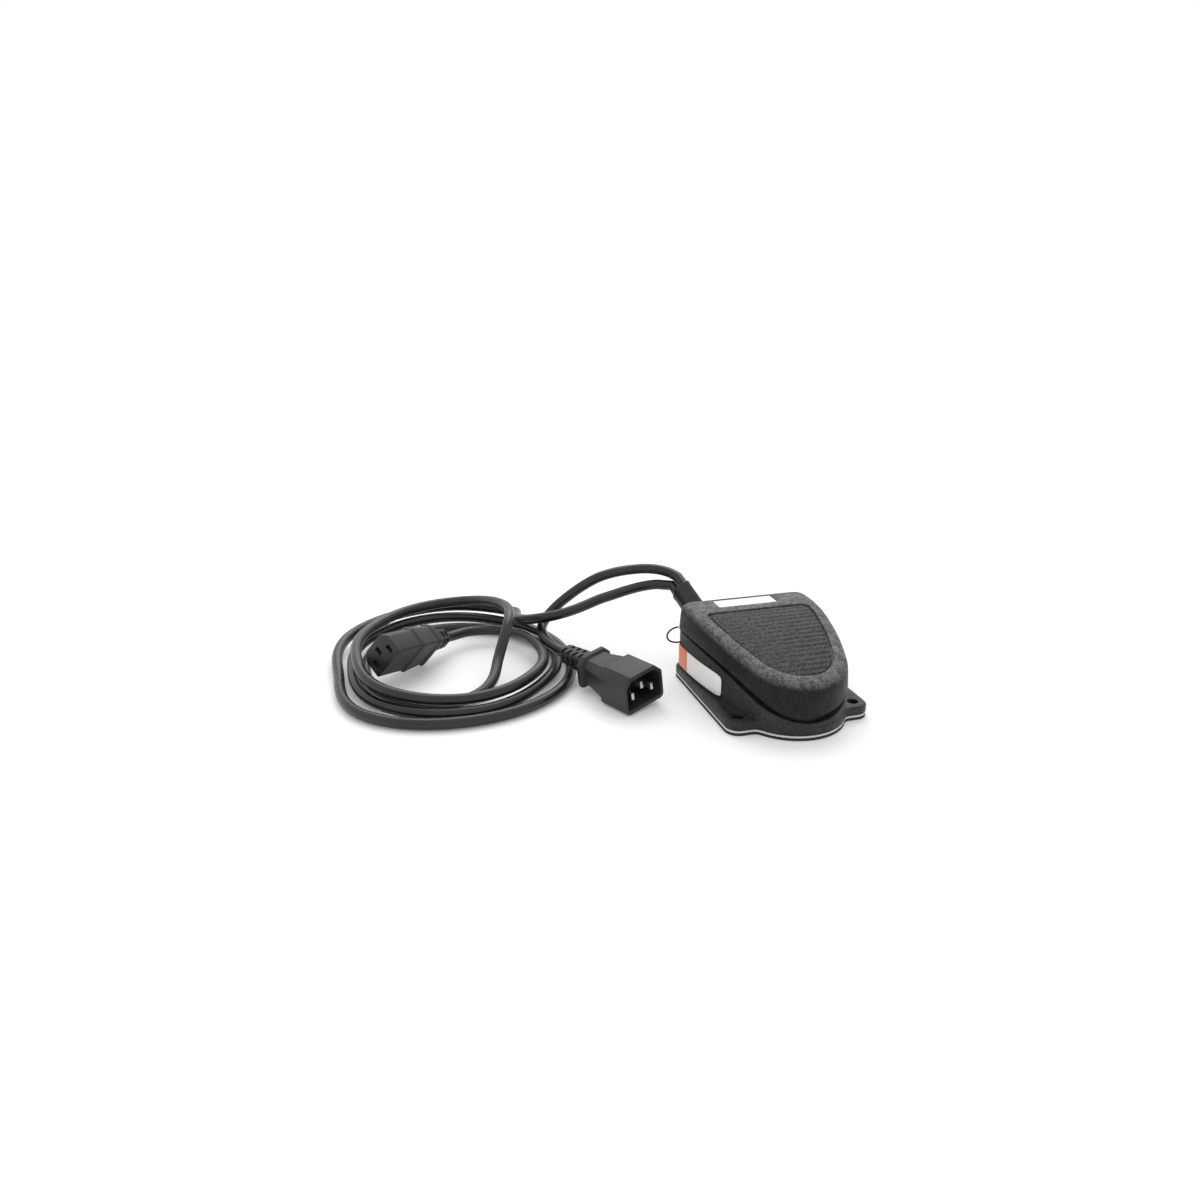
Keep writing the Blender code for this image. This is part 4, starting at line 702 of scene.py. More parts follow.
@dataclass(frozen=True)
class DrawnMetal:
    """Plated or drawn metal with fine lines along one direction.

    Attributes:
        name: The material's name.
        colour: Its bright colour.
        dull: Its colour where it is tarnished.
        rough: Its roughness.
        line: Size of its lines.
        line_stretch: How the lines are stretched along each axis.
        depth: Depth of the lines.
        patch: Size of the tarnished patches.
        tarnish: Noise where the tarnish starts, and how much more makes it full.
        rough_line: How much the lines change the roughness.
        rough_patch: How much rougher the patches are.
    """

    name: str
    colour: Colour
    dull: Colour
    rough: float = 0.28
    line: float = 0.0003
    line_stretch: Place = (1.0, 0.08, 1.0)
    depth: float = 0.00001
    patch: float = 0.004
    tarnish: tuple[float, float] = (0.45, 0.4)
    rough_line: float = 0.2
    rough_patch: float = 0.1

    def make(self) -> bpy.types.Material:
        """Build the material.

        Returns:
            The material.
        """
        look = Look(self.name)
        lines = look.noise(self.line, place=look.stretched(self.line_stretch))
        patches = look.noise(self.patch, detail=3.0, roughness=0.6)
        look.set(Base_Color=look.between(patches.over(*self.tarnish), self.colour, self.dull),
                 Metallic=1.0, Roughness=self.rough + (lines - 0.5) * self.rough_line
                 + patches * self.rough_patch)
        look.relief(lines, self.depth)
        return look.material


@dataclass(frozen=True)
class WireInsulation:
    """Coloured insulation of a lead.

    Attributes:
        name: The material's name.
        colour: Its colour.
        shade: Its darker colour.
        cloud: Size of its shading.
        fine: Size of its surface's texture.
        depth: Depth of that texture.
        rough: Its mean roughness.
        rough_cloud: How much the shading changes the roughness.
    """

    name: str
    colour: Colour
    shade: Colour
    cloud: float = 0.003
    fine: float = 0.0004
    depth: float = 0.00001
    rough: float = 0.4
    rough_cloud: float = 0.15

    def make(self) -> bpy.types.Material:
        """Build the material.

        Returns:
            The material.
        """
        look = Look(self.name)
        cloud = look.noise(self.cloud)
        look.set(Base_Color=look.between(cloud, self.shade, self.colour),
                 Roughness=self.rough + (cloud - 0.5) * self.rough_cloud)
        look.relief(look.noise(self.fine), self.depth)
        return look.material


class Finishes:
    """Every finish of the object, made once."""

    def __init__(self) -> None:
        """Make the materials."""
        self.coat = WrinkleCoat().make()
        self.crown = TreadleCoat().make()
        self.grip = TreadGrip().make()
        self.cord = MouldedVinyl("cord_vinyl", (0.005, 0.005, 0.006), (0.013, 0.013, 0.014),
                                 rough=0.30).make()
        self.moulding = MouldedVinyl("plug_vinyl", pores=0.0009, depth=0.00008, rough=0.5).make()
        self.case = MouldedVinyl("switch_case", rough=0.35).make()
        self.rubber = PadRubber().make()
        self.foam = ClosedFoam().make()
        self.white = LabelStock("white_label", (0.92, 0.92, 0.91), (0.84, 0.84, 0.82)).make()
        self.orange = LabelStock("orange_label", (0.92, 0.23, 0.10), (0.84, 0.19, 0.08)).make()
        self.steel = DrawnMetal("zinc_steel", (0.62, 0.62, 0.61), (0.42, 0.42, 0.41)).make()
        self.brass = DrawnMetal("nickel_plate", (0.70, 0.68, 0.64), (0.50, 0.48, 0.44)).make()
        self.nylon = WireInsulation("white_nylon", (0.8, 0.8, 0.78), (0.66, 0.66, 0.64)).make()
        self.live = WireInsulation("brown_lead", (0.22, 0.08, 0.03), (0.15, 0.05, 0.02)).make()
        self.neutral = WireInsulation("blue_lead", (0.03, 0.12, 0.45), (0.02, 0.07, 0.3)).make()
        self.earth = WireInsulation("green_lead", (0.12, 0.38, 0.09), (0.5, 0.45, 0.05)).make()


# ---------------------------------------------------------------------------------------------
# Modelling
# ---------------------------------------------------------------------------------------------

class Bench:
    """Models one piece at a time with operators, in its own frame."""

    @staticmethod
    def hold(piece: bpy.types.Object) -> None:
        """Select one piece alone and make it active.

        Args:
            piece: The piece.
        """
        if bpy.context.object and bpy.context.object.mode != "OBJECT":
            bpy.ops.object.mode_set(mode="OBJECT")
        bpy.ops.object.select_all(action="DESELECT")
        piece.select_set(True)
        bpy.context.view_layer.objects.active = piece

    @staticmethod
    def added(name: str) -> bpy.types.Object:
        """Name the primitive that was just added.

        Args:
            name: Its name.

        Returns:
            The primitive.
        """
        piece = bpy.context.object
        piece.name = name
        piece.data.name = name
        return piece

    @classmethod
    def sized(cls, name: str, size: Sequence[float], placed: bool = False) -> bpy.types.Object:
        """Name and scale the primitive that was just added.

        Args:
            name: Its name.
            size: Its scale along each axis.
            placed: Whether it was added away from the origin.

        Returns:
            The primitive, with its scale and place in its mesh.
        """
        piece = cls.added(name)
        piece.scale = tuple(size)
        bpy.ops.object.transform_apply(location=placed, rotation=False, scale=True)
        return piece

    @classmethod
    def sheet(cls, name: str, half_width: float, half_height: float) -> bpy.types.Object:
        """A rectangle about the origin.

        Args:
            name: Its name.
            half_width: Half its size in X.
            half_height: Half its size in Y.

        Returns:
            The rectangle.
        """
        bpy.ops.object.select_all(action="DESELECT")
        bpy.ops.mesh.primitive_plane_add(size=2.0)
        return cls.sized(name, (half_width, half_height, 1.0))

    @classmethod
    def oval(cls, name: str, half_width: float, half_height: float,
             sides: int) -> bpy.types.Object:
        """A filled ellipse about the origin.

        Args:
            name: Its name.
            half_width: Half its size in X.
            half_height: Half its size in Y.
            sides: The number of its sides.

        Returns:
            The ellipse.
        """
        bpy.ops.object.select_all(action="DESELECT")
        bpy.ops.mesh.primitive_circle_add(vertices=sides, radius=1.0, fill_type="NGON")
        return cls.sized(name, (half_width, half_height, 1.0))

    @classmethod
    def block(cls, name: str, centre: Sequence[float], size: Sequence[float]) -> bpy.types.Object:
        """A block.

        Args:
            name: Its name.
            centre: Its middle.
            size: Its size along each axis.

        Returns:
            The block.
        """
        bpy.ops.object.select_all(action="DESELECT")
        bpy.ops.mesh.primitive_cube_add(size=1.0, location=tuple(centre))
        return cls.sized(name, size, placed=True)

    @classmethod
    def pick(cls, piece: bpy.types.Object, kind: str, wanted: Callable[..., bool]) -> None:
        """Select parts of a mesh by their place and enter edit mode.

        Args:
            piece: The piece.
            kind: VERT or FACE.
            wanted: Says whether a vertex, by its place, or a face, by its centre and normal,
                is selected.
        """
        cls.hold(piece)
        mesh = piece.data
        for group in (mesh.vertices, mesh.edges, mesh.polygons):
            for part in group:
                part.select = False
        if kind == "VERT":
            for vertex in mesh.vertices:
                vertex.select = wanted(vertex.co)
        else:
            for face in mesh.polygons:
                face.select = wanted(face.center, face.normal)
        bpy.context.tool_settings.mesh_select_mode = (kind == "VERT", False, kind == "FACE")
        bpy.ops.object.mode_set(mode="EDIT")

    @staticmethod
    def pull(distance: float, scale: tuple[float, float] = (1.0, 1.0),
             centre: Sequence[float] = (0.0, 0.0, 0.0)) -> None:
        """Extrude the selection along Z and scale its new end.

        Args:
            distance: How far it moves along Z.
            scale: How much its end is scaled in X and Y.
            centre: The point that it is scaled about.
        """
        bpy.ops.mesh.extrude_region_move(TRANSFORM_OT_translate={"value": (0, 0, distance)})
        if scale != (1.0, 1.0):
            bpy.ops.transform.resize(value=(*scale, 1.0), center_override=tuple(centre))

    @classmethod
    def climb(cls, piece: bpy.types.Object,
              stations: Sequence[Station]) -> None:
        """Extrude a flat outline up through stations.

        Args:
            piece: A piece that is one flat face at the first station.
            stations: Height, half width and half height of each station, the first being the
                face's own.
        """
        cls.hold(piece)
        bpy.ops.object.mode_set(mode="EDIT")
        bpy.ops.mesh.select_all(action="SELECT")
        for (z0, w0, h0), (z1, w1, h1) in zip(stations, stations[1:]):
            cls.pull(z1 - z0, (w1 / w0, h1 / h0), (0.0, 0.0, z1))
        bpy.ops.mesh.select_all(action="SELECT")
        bpy.ops.mesh.normals_make_consistent(inside=False)
        bpy.ops.object.mode_set(mode="OBJECT")

    @classmethod
    def modify(cls, piece: bpy.types.Object, kind: str, **settings: object) -> None:
        """Add a modifier, set it and apply it.

        Args:
            piece: The piece.
            kind: The modifier's type.
            **settings: Its settings.
        """
        cls.hold(piece)
        modifier = piece.modifiers.new(kind.lower(), kind)
        for key, value in settings.items():
            setattr(modifier, key, value)
        bpy.ops.object.modifier_apply(modifier=modifier.name)

    @classmethod
    def soften(cls, piece: bpy.types.Object, width: float, segments: int = 3,
               angle: float = CREASE) -> None:
        """Round a piece's edges and shade it smooth.

        Args:
            piece: The piece.
            width: The rounding's width.
            segments: Its steps.
            angle: The least angle in degrees of an edge that is rounded.
        """
        cls.modify(piece, "BEVEL", width=width, segments=segments, limit_method="ANGLE",
                   angle_limit=radians(angle), use_clamp_overlap=True)
        cls.smooth(piece, angle)

    @classmethod
    def smooth(cls, piece: bpy.types.Object, angle: float = CREASE) -> None:
        """Shade a piece smooth, except at edges over an angle in degrees."""
        cls.hold(piece)
        bpy.ops.object.shade_smooth_by_angle(angle=radians(angle))

    @classmethod
    def carve(cls, piece: bpy.types.Object, cutter: bpy.types.Object) -> None:
        """Cut one piece out of another and throw the cutter away."""
        cls.modify(piece, "BOOLEAN", operation="DIFFERENCE", object=cutter, solver="EXACT")
        bpy.data.objects.remove(cutter)

    @classmethod
    def join(cls, piece: bpy.types.Object, others: Sequence[bpy.types.Object]) -> None:
        """Join other pieces to one.

        Args:
            piece: The piece that they are joined to.
            others: The pieces that end in it.
        """
        cls.hold(piece)
        for other in others:
            other.select_set(True)
        bpy.ops.object.join()

    @classmethod
    def place(cls, piece: bpy.types.Object, matrix: Matrix) -> None:
        """Move a finished piece to its place and leave its object at the origin.

        Args:
            piece: The piece.
            matrix: Its place.
        """
        cls.hold(piece)
        piece.matrix_world = matrix
        bpy.ops.object.transform_apply(location=True, rotation=True, scale=True)


class Fitter:
    """Turns pieces and frame nodes into finished pieces that ride on their bodies."""

    def __init__(self, frame: dict, finishes: Finishes) -> None:
        """Keep the frame and the finishes.

        Args:
            frame: The loaded frame.
            finishes: The materials.
        """
        self.nodes = frame["nodes"]
        self.finishes = finishes

    def fit(self, piece: bpy.types.Object, material: bpy.types.Material, slot: Slot,
            body: Body = Body.BASE, *nodes: str) -> bpy.types.Object:
        """Give a piece its material and body.

        Args:
            piece: The piece, in place.
            material: Its finish.
            slot: The record's slot that it belongs to; not used.
            body: The body that it rides on.
            *nodes: The frame's nodes that it stands for.

        Returns:
            The piece.
        """
        piece.data.materials.clear()
        piece.data.materials.append(material)
        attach(piece, body.value)
        if nodes:
            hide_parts(*nodes)
        LOG.info("fitted %s on %s", piece.name, body.value)
        return piece

    def welded(self, node: str, name: str) -> bpy.types.Object:
        """A copy of a node with its triangles welded into whole faces.

        Args:
            node: The frame's node.
            name: The copy's name.

        Returns:
            The copy.
        """
        piece = bpy.data.objects.new(name, self.nodes[node].data.copy())
        bpy.context.scene.collection.objects.link(piece)
        Bench.hold(piece)
        bpy.ops.object.mode_set(mode="EDIT")
        bpy.ops.mesh.select_all(action="SELECT")
        bpy.ops.mesh.customdata_custom_splitnormals_clear()
        bpy.ops.mesh.remove_doubles(threshold=WELD)
        bpy.ops.mesh.dissolve_limited(angle_limit=radians(FLAT_ANGLE))
        bpy.ops.object.mode_set(mode="OBJECT")
        return piece

    def finished(self, node: str, name: str, material: bpy.types.Material, slot: Slot,
                 edge: float, body: Body = Body.BASE) -> bpy.types.Object:
        """A node as a finished piece, with its edges rounded.

        Args:
            node: The frame's node.
            name: The piece's name.
            material: Its finish.
            slot: The record's slot.
            edge: Width of its rounded edges, or 0 for a piece that is round across.
            body: The body that it rides on.

        Returns:
            The piece.
        """
        piece = self.welded(node, name)
        if edge:
            Bench.soften(piece, edge, segments=2)
        else:
            Bench.smooth(piece, ROUND_CREASE)
        return self.fit(piece, material, slot, body, node)


# ---------------------------------------------------------------------------------------------
# Ways through space
# ---------------------------------------------------------------------------------------------

def frame_at(origin: Vector, axis: Vector, up: Vector) -> Matrix:
    """A frame whose Z is an axis and whose Y is as near as it can be to up.

    Args:
        origin: Its origin.
        axis: Its Z direction.
        up: The direction that Y leans to.

    Returns:
        The frame's matrix.
    """
    z_axis = axis.normalized()
    y_axis = (up - up.dot(z_axis) * z_axis).normalized()
    x_axis = y_axis.cross(z_axis)
    return Matrix.Translation(origin) @ Matrix((x_axis, y_axis, z_axis)).transposed().to_4x4()


def even(points: Sequence[Vector], step: float) -> list[Vector]:
    """Space the points of a line evenly.

    Args:
        points: The line's points.
        step: About how far apart they get.

    Returns:
        The points of the same line, evenly spaced.
    """
    reach = [0.0]
    for a, b in zip(points, points[1:]):
        reach.append(reach[-1] + (b - a).length)
    count = max(round(reach[-1] / step), 1)
    spaced = []
    i = 0
    for k in range(count + 1):
        wanted = reach[-1] * k / count
        while i < len(points) - 2 and reach[i + 1] < wanted:
            i += 1
        span = reach[i + 1] - reach[i]
        spaced.append(points[i].lerp(points[i + 1], (wanted - reach[i]) / span))
    return spaced


def smooth_route(places: Sequence[Sequence[float]], step: float) -> list[Vector]:
    """A smooth curve through places.

    Args:
        places: The places that it passes.
        step: Distance between its points.

    Returns:
        The curve's points.
    """
    points = [Vector(place) for place in places]
    lengths = [(b - a).length for a, b in zip(points, points[1:])]
    tangents = [(points[1] - points[0]) / lengths[0]]
    for i in range(1, len(points) - 1):
        before = (points[i] - points[i - 1]) / lengths[i - 1]
        after = (points[i + 1] - points[i]) / lengths[i]
        tangents.append(before.lerp(after, lengths[i - 1] / (lengths[i - 1] + lengths[i])))
    tangents.append((points[-1] - points[-2]) / lengths[-1])
    fine = []
    for i, length in enumerate(lengths):
        for k in range(CURVE_STEPS):
            t = k / CURVE_STEPS
            fine.append((2 * t ** 3 - 3 * t ** 2 + 1) * points[i]
                        + (t ** 3 - 2 * t ** 2 + t) * length * tangents[i]
                        + (3 * t ** 2 - 2 * t ** 3) * points[i + 1]
                        + (t ** 3 - t ** 2) * length * tangents[i + 1])
    fine.append(points[-1])
    return even(fine, step)


def line_length(points: Sequence[Vector]) -> float:
    """Length of a line of points."""
    return sum((b - a).length for a, b in zip(points, points[1:]))


def round_cord(name: str, points: Sequence[Vector], diameter: float) -> bpy.types.Object:
    """A round cord along a line.

    Args:
        name: Its name.
        points: Its centreline.
        diameter: Its diameter.

    Returns:
        The cord, as a curve.
    """
    bpy.ops.object.select_all(action="DESELECT")
    bpy.ops.curve.primitive_nurbs_path_add()
    cord = Bench.added(name)
    curve = cord.data
    curve.dimensions = "3D"
    curve.bevel_depth = diameter / 2
    curve.bevel_resolution = CORD_ROUNDNESS
    curve.use_fill_caps = True
    spline = curve.splines[0]
    spline.type = "POLY"
    spline.points.add(len(points) - len(spline.points))
    for spot, point in zip(spline.points, points):
        spot.co = (*point, 1.0)
    spline.use_smooth = True
    return cord


# ---------------------------------------------------------------------------------------------
# Sub-assemblies
# ---------------------------------------------------------------------------------------------

@dataclass
class Castings:
    """The base, its layers and the treadle with its tread.

    Attributes:
        edge: Rounding of the castings' edges.
        layer_edge: Rounding of the layers' edges.
        crest: The line of the cover's crest.
        recess: Depth of the tread's recess below the crest.
        tolerance: How near a face lies to the recess floor to belong to it.
        facing: Upward share of such a face's normal, at least.
        tread_reach: Half width within which the tread lies.
        tread_back: Y of the tread's back edge.
        tread_length: Length of the tread.
        tread_rise: Height of the tread over its recess.
        tread_sink: How far its sides reach down, against its rise.
        tread_edge: Rounding of its edges.
        sliver: Width up to which a strip among its faces is dissolved.
        groove: Width of the groove round it.
    """

    edge: float = 0.0007
    layer_edge: float = 0.00025
    crest: CrestLine = CrestLine()
    recess: float = 0.0016
    tolerance: float = 0.0005
    facing: float = 0.9
    tread_reach: float = 0.033
    tread_back: float = 0.0262
    tread_length: float = 0.0675
    tread_rise: float = 0.0010
    tread_sink: float = 1.3
    tread_edge: float = 0.0003
    sliver: float = 0.00002
    groove: float = 0.0016

    def on_tread(self, centre: Vector, normal: Vector) -> bool:
        """Whether a face belongs to the floor of the tread's recess.

        Args:
            centre: The face's middle.
            normal: Its normal.

        Returns:
            True if it does.
        """
        floor = self.crest.height(centre.y) - self.recess
        return (normal.z > self.facing and centre.y < self.tread_back
                and abs(centre.x) < self.tread_reach and abs(centre.z - floor) < self.tolerance)

    def tread(self, cover: bpy.types.Object) -> bpy.types.Object:
        """The raised tread, from the recess floor of the cover.

        Args:
            cover: The finished cover.

        Returns:
            The tread, with a groove left open round it.
        """
        Bench.pick(cover, "FACE", self.on_tread)
        bpy.ops.mesh.duplicate()
        bpy.ops.mesh.separate(type="SELECTED")
        bpy.ops.object.mode_set(mode="OBJECT")
        tread = next(piece for piece in bpy.context.selected_objects if piece is not cover)
        tread.name = tread.data.name = "raised_tread"
        Bench.hold(tread)
        bpy.ops.object.mode_set(mode="EDIT")
        bpy.ops.mesh.select_all(action="SELECT")
        bpy.ops.mesh.dissolve_degenerate(threshold=self.sliver)
        middle = self.tread_back - self.tread_length / 2
        shrink = (1.0 - self.groove / self.tread_reach, 1.0 - 2 * self.groove / self.tread_length)
        bpy.ops.transform.resize(value=(*shrink, 1.0), center_override=(0.0, middle, 0.0))
        bpy.ops.transform.translate(value=(0.0, 0.0, self.tread_rise))
        Bench.pull(-self.tread_sink * self.tread_rise)
        bpy.ops.mesh.select_all(action="SELECT")
        bpy.ops.mesh.normals_make_consistent(inside=False)
        bpy.ops.object.mode_set(mode="OBJECT")
        Bench.soften(tread, self.tread_edge, segments=2)
        return tread

    def make(self, fitter: Fitter) -> None:
        """Make the castings and the layers under them.

        Args:
            fitter: What fits them.
        """
        finishes = fitter.finishes
        fitter.finished("base_casting", "base_shell", finishes.coat, Slot.CASTING, self.edge)
        cover = fitter.finished("treadle_cover", "treadle_shell", finishes.crown, Slot.CASTING,
                                self.edge, Body.TREADLE)
        fitter.fit(self.tread(cover), finishes.grip, Slot.CASTING, Body.TREADLE)
        fitter.finished("foam_layer", "foam_sheet", finishes.foam, Slot.FOAM, self.layer_edge)
        fitter.finished("rubber_pad", "pad_sheet", finishes.rubber, Slot.RUBBER, self.layer_edge)


@dataclass
class Labels:
    """The blank nameplate and the blank two-coloured side label.

    Attributes:
        plate_edge: Rounding of the plate's edges.
        label_edge: Rounding of the label's edges.
    """

    plate_edge: float = 0.00012
    label_edge: float = 0.00008

    def make(self, fitter: Fitter) -> None:
        """Make the plate and the label.

        Args:
            fitter: What fits them.
        """
        white, orange = fitter.finishes.white, fitter.finishes.orange
        fitter.finished("nameplate", "blank_plate", white, Slot.WHITE, self.plate_edge,
                        Body.TREADLE)
        fitter.finished("label_white", "side_label_white", white, Slot.WHITE, self.label_edge)
        fitter.finished("label_orange", "side_label_orange", orange, Slot.ORANGE, self.label_edge)


@dataclass
class Hinge:
    """The hinge pin, its clips and the return spring.

    Attributes:
        pin_edge: Rounding of the pin's edges.
        clip_edge: Rounding of the clips' edges.
        spring_centre: Middle of the spring's foot.
        spring_height: Its height between wire centres.
        spring_radius: Radius of its turns.
        spring_wire: Diameter of its wire.
        turns: Number of its turns.
        points_per_turn: Points along each turn.
        keep: Its height at full travel, as a share of that at rest.
    """

    pin_edge: float = 0.0002
    clip_edge: float = 0.0001
    spring_centre: Place = (0.0, -0.0240, 0.0068)
    spring_height: float = 0.0192
    spring_radius: float = 0.0065
    spring_wire: float = 0.0014
    turns: int = 6
    points_per_turn: int = 28
    keep: float = 0.885

    def make(self, fitter: Fitter) -> None:
        """Make the pin, the clips and the spring.

        Args:
            fitter: What fits them.
        """
        steel = fitter.finishes.steel
        fitter.finished("pivot_pin", "hinge_pin", steel, Slot.STEEL, self.pin_edge)
        for side in ("left", "right"):
            fitter.finished(f"pivot_clip_{side}", f"hinge_clip_{side}", steel, Slot.STEEL,
                            self.clip_edge)
        x, y, z = self.spring_centre
        count = self.turns * self.points_per_turn
        points = []
        for i in range(count + 1):
            angle = 2 * pi * i / self.points_per_turn
            points.append(Vector((x + self.spring_radius * cos(angle),
                                  y + self.spring_radius * sin(angle),
                                  z + self.spring_height * i / count)))
        spring = round_cord("coil_spring", points, self.spring_wire)
        Bench.hold(spring)
        bpy.ops.object.convert(target="MESH")
        spring = bpy.context.object
        fitter.fit(spring, steel, Slot.STEEL, Body.BASE, "return_spring")
        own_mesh(spring)


@dataclass
class SwitchGear:
    """The snap switch, its bracket, lever, plunger, screws and the adjusting screw.

    Attributes:
        edge: Rounding of the switch's and the bracket's edges.
        thin_edge: Rounding of its lever's, plunger's and terminals' edges.
        screw_edge: Rounding of the screws' edges.
    """

    edge: float = 0.0003
    thin_edge: float = 0.0001
    screw_edge: float = 0.0002

    def make(self, fitter: Fitter) -> None:
        """Make every piece of the switch.

        Args:
            fitter: What fits them.
        """
        finishes = fitter.finishes
        fitter.finished("switch_body", "snap_switch_case", finishes.case, Slot.VINYL, self.edge)
        fitter.finished("switch_bracket", "switch_angle", finishes.steel, Slot.STEEL, self.edge)
        fitter.finished("switch_lever", "switch_arm", finishes.steel, Slot.STEEL,
                        self.thin_edge, Body.LEVER)
        fitter.finished("switch_plunger", "switch_button", finishes.nylon, Slot.FOAM,
                        self.thin_edge, Body.PLUNGER)
        for kind in ("open", "common", "closed"):
            fitter.finished(f"switch_terminal_{kind}", f"terminal_{kind}", finishes.brass,
                            Slot.BRASS, self.thin_edge)
        for number in (1, 2):
            for place in ("switch", "bracket"):
                fitter.finished(f"{place}_screw_{number}", f"{place}_pan_screw_{number}",
                                finishes.steel, Slot.STEEL, self.screw_edge)
        for part in ("screw", "nut"):
            fitter.finished(f"actuator_{part}", f"adjusting_{part}", finishes.steel,
                            Slot.STEEL, self.screw_edge, Body.TREADLE)


@dataclass
class InnerWiring:
    """The cords' ends inside the case, their leads, the splice and the earth.

    Attributes:
        plain: Rounding of the cords and the leads, which are round as they are.
        lug_edge: Rounding of the ring terminal's edges.
        edge: Rounding of the splice's and the earth screw's edges.
    """

    plain: float = 0.0
    lug_edge: float = 0.0001
    edge: float = 0.0002

    def make(self, fitter: Fitter) -> None:
        """Make the wiring.

        Args:
            fitter: What fits it.
        """
        finishes = fitter.finishes
        kinds = (("live", finishes.live, Slot.LIVE), ("neutral", finishes.neutral, Slot.NEUTRAL),
                 ("earth", finishes.earth, Slot.EARTH))
        for cord in ("supply", "load"):
            fitter.finished(f"{cord}_tail", f"{cord}_jacket_end", finishes.cord, Slot.VINYL,
                            self.plain)
            for kind, material, slot in kinds:
                fitter.finished(f"lead_{cord}_{kind}", f"{cord}_{kind}_lead", material, slot,
                                self.plain)
        fitter.finished("neutral_splice", "closed_splice", finishes.nylon, Slot.FOAM, self.edge)
        fitter.finished("earth_lug", "ring_tongue", finishes.brass, Slot.BRASS, self.lug_edge)
        fitter.finished("earth_screw", "earth_pan_screw", finishes.steel, Slot.STEEL, self.edge)


@dataclass
class BondingLoop:
    """The thin wire loop at the heel corner.

    Attributes:
        diameter: Its diameter.
        route: Places that it passes.
    """

    diameter: float = 0.0010
    route: tuple[Place, ...] = (
        (-0.0402, 0.0420, 0.0313), (-0.0432, 0.0418, 0.0309), (-0.0462, 0.0416, 0.0289),
        (-0.0471, 0.0416, 0.0264), (-0.0456, 0.0418, 0.0237), (-0.0425, 0.0420, 0.0222),
        (-0.0392, 0.0422, 0.0218), (-0.0372, 0.0422, 0.0218),
    )

    def make(self, fitter: Fitter) -> None:
        """Make the loop.

        Args:
            fitter: What fits it.
        """
        points = smooth_route(self.route, self.diameter)
        wire = round_cord("bonding_loop", points, self.diameter)
        fitter.fit(wire, fitter.finishes.rubber, Slot.VINYL, Body.BASE, "bonding_wire")


@dataclass
class Sleeve:
    """The sleeve that brings both cords out of the heel.

    Attributes:
        root: Where its axis meets the wall.
        tip: The end of its axis.
        roll: How far its cords lean from upright.
        cord_offset: Each cord's middle from its axis.
        root_size: Half width and half height at the wall.
        tip_size: Half width and half height at its end.
        sides: Number of its sides.
        bead: Width of the rolled bead at its end.
        collar: Start and end of the collar inside the wall.
        collar_rim: How far the collar stands out.
    """

    root: Place = (-0.0153, 0.0495, 0.0200)
    tip: Place = (-0.0230, 0.0855, 0.0380)
    roll: float = radians(18)
    cord_offset: float = 0.0034
    root_size: tuple[float, float] = (0.0049, 0.0074)
    tip_size: tuple[float, float] = (0.0043, 0.0074)
    sides: int = 40
    bead: float = 0.0010
    collar: tuple[float, float] = (-0.0140, -0.0120)
    collar_rim: float = 0.0012

    @property
    def axis(self) -> Vector:
        """The way from its root to its tip."""
        return Vector(self.tip) - Vector(self.root)

    @property
    def frame(self) -> Matrix:
        """Its frame: +Z out along its axis, +Y along its two cords."""
        turn = Matrix.Rotation(self.roll, 4, "Z")
        return frame_at(Vector(self.root), self.axis, UP) @ turn

    @property
    def length(self) -> float:
        """Its length outside the wall."""
        return self.axis.length

    def mouth(self, side: int, diameter: float) -> list[Vector]:
        """A cord's first two points, straight out of the sleeve.

        Args:
            side: 1 for the upper cord and -1 for the lower.
            diameter: The cord's diameter.

        Returns:
            The two points.
        """
        start = self.length + SEAM
        offset = side * self.cord_offset
        return [self.frame @ Vector((0, offset, start)),
                self.frame @ Vector((0, offset, start + diameter))]

    def make(self, fitter: Fitter) -> None:
        """Make the sleeve.

        Args:
            fitter: What fits it.
        """
        piece = Bench.oval("cord_grommet", *self.root_size, self.sides)
        (w0, h0), (w1, h1) = self.root_size, self.tip_size
        inner, outer = self.collar
        rim, bead, lip = self.collar_rim, self.bead, self.bead / 4
        end = self.length - inner
        stations = [(0.0, w0, h0), (0.0, w0 + rim, h0 + rim), (outer - inner, w0 + rim, h0 + rim),
                    (outer - inner, w0, h0), (-inner, w0, h0), (end - 3 * bead, w1, h1),
                    (end - 2.5 * bead, w1 + lip, h1 + lip), (end - bead, w1 + lip, h1 + lip),
                    (end, w1 - bead / 3, h1 - bead / 3)]
        Bench.climb(piece, stations)
        Bench.soften(piece, bead / 3)
        Bench.place(piece, self.frame @ Matrix.Translation((0.0, 0.0, inner)))
        fitter.fit(piece, fitter.finishes.cord, Slot.VINYL, Body.BASE, "cord_sleeve")


